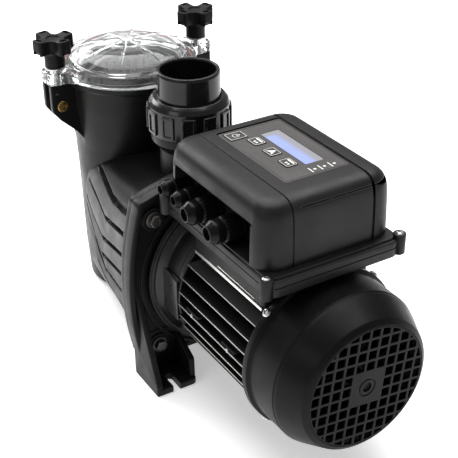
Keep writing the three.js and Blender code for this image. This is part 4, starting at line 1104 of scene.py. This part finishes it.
def gland_cap(r, tip):
    """A ribbed cap nut drawing in to a smooth, broad dome with a round cable opening."""
    length = tip - 62
    dome = 62 + length * 0.52
    body = spun([(r * 0.72, 62), (r * 0.93, 62, 0.8), (r * 0.93, dome - 0.6, 0.5), (r * 0.86, dome, 0.6),
                 (r * 0.95, dome + 1.4, 1.0), (r * 0.95, tip - length * 0.2, 6), (r * 0.62, tip, 4),
                 (r * 0.5, tip, 0.5), (r * 0.48, tip - 6), (r * 0.72, tip - 12)], ROUND, "y", 8, ring=True)
    barrel = carved(rod(r * 1.02, 62.3, dome - 1, "y", ROUND, 0.8), rod(r * 0.7, 61, dome, "y"))
    notch = box(-0.5, 0.5, 61, dome, r * 0.93, r * 1.2, 0.2)
    return joined(carved(barrel, *around(notch, 22, "y", start=3)), body)


def gland_plug(r, tip):
    """The rubber insert seen in a cap's opening, closed because no cable is fitted."""
    return spun([(0, tip - 8), (r * 0.475, tip - 8), (r * 0.475, tip - 3.6, 0.4), (0, tip - 3.4)], SMALL, "y", 5)


GLAND_Z = 258.5
GLANDS = ((143, 9.5, 13.5, 97), (188, 9.5, 13.5, 97), (220, 6.5, 9.6, 92), (248, 6.5, 9.6, 92))
# each X, stub radius, cap radius and the Y of its tip
for number, (x, stub, cap_r, tip) in enumerate(GLANDS, 1):
    spot = {"x": x, "z": GLAND_Z}
    of_slot(f"gland.{number}", moved(gland_body(stub, cap_r * 1.85), **spot), "gland_black",
            replaces=(f"gland_body_{number}",))
    of_slot(f"gland_nut.{number}", moved(gland_cap(cap_r, tip), **spot), "gland_black",
            replaces=(f"gland_cap_{number}",))
    of_slot(f"gland_plug.{number}", moved(gland_plug(cap_r, tip), **spot), "gland_black")


# ---- Materials on the CAD's own meshes ----
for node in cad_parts.values():
    materials = node.data.materials
    materials[0] = LOOKS[materials[0].name]  # the frame names each mesh's material after its slot


# ---- Floor, light and camera ----
FLOOR_REACH = 20
WORLD_STRENGTH = 0.38
CAMERA_PLACE = Vector((-0.9329, 0.5458, 0.7913))
CAMERA_TARGET = Vector((-0.03199, 0.0, 0.17679))
CAMERA_LENS = 84.14  # mm on a 36 mm sensor
CAMERA_ROLL = -0.42  # degrees


def floor():
    n = Nodes("FloorPale")
    tint = n.mix(n.noise(1.2, 3.0), (0.94, 0.94, 0.94), (0.96, 0.96, 0.96))
    look = n.shader(Base_Color=tint, Roughness=0.7, Emission_Color=tint, Emission_Strength=0.45,
                    Normal=n.bump(n.noise(60.0, 3.0), 0.0002, 0.05))
    mesh = bpy.data.meshes.new("floor")
    corners = [(x * FLOOR_REACH, y * FLOOR_REACH, 0) for x, y in ((-1, -1), (1, -1), (1, 1), (-1, 1))]
    mesh.from_pydata(corners, [], [(0, 1, 2, 3)])
    mesh.materials.append(look)
    linked("floor", mesh)


def soft_light(name, place, target, size, power):
    lamp = bpy.data.lights.new(name, "AREA")
    lamp.shape = "RECTANGLE"
    lamp.size, lamp.size_y = size
    lamp.energy = power
    thing = linked(name, lamp)
    thing.location = place
    thing.rotation_euler = (Vector(target) - Vector(place)).to_track_quat("-Z", "Y").to_euler()


def daylight():
    world = bpy.data.worlds.new("studio")
    world.use_nodes = True
    sky = world.node_tree.nodes["Background"]
    sky.inputs["Color"].default_value = (1.0, 1.0, 1.0, 1.0)
    sky.inputs["Strength"].default_value = WORLD_STRENGTH
    bpy.context.scene.world = world


def camera():
    lens = bpy.data.cameras.new("camera")
    lens.lens = CAMERA_LENS
    lens.sensor_width = 36.0
    lens.clip_start = 0.05
    thing = linked("camera", lens)
    aim = (CAMERA_TARGET - CAMERA_PLACE).to_track_quat("-Z", "Y").to_matrix().to_4x4()
    roll = Matrix.Rotation(math.radians(CAMERA_ROLL), 4, "Z")
    thing.matrix_world = Matrix.Translation(CAMERA_PLACE) @ aim @ roll
    bpy.context.scene.camera = thing


floor()
soft_light("overhead", (0.7, -0.4, 2.6), (0.0, 0.0, 0.1), (3.0, 3.0), 125.0)
soft_light("side", (-0.6, 2.4, 1.6), (-0.05, 0.0, 0.15), (1.2, 0.5), 5.0)
soft_light("behind", (2.2, 0.55, 1.35), (0.05, 0.05, 0.2), (1.5, 0.9), 34.0)
daylight()
camera()
bpy.context.scene.view_settings.view_transform = "Standard"
bpy.context.scene.view_settings.gamma = 0.92
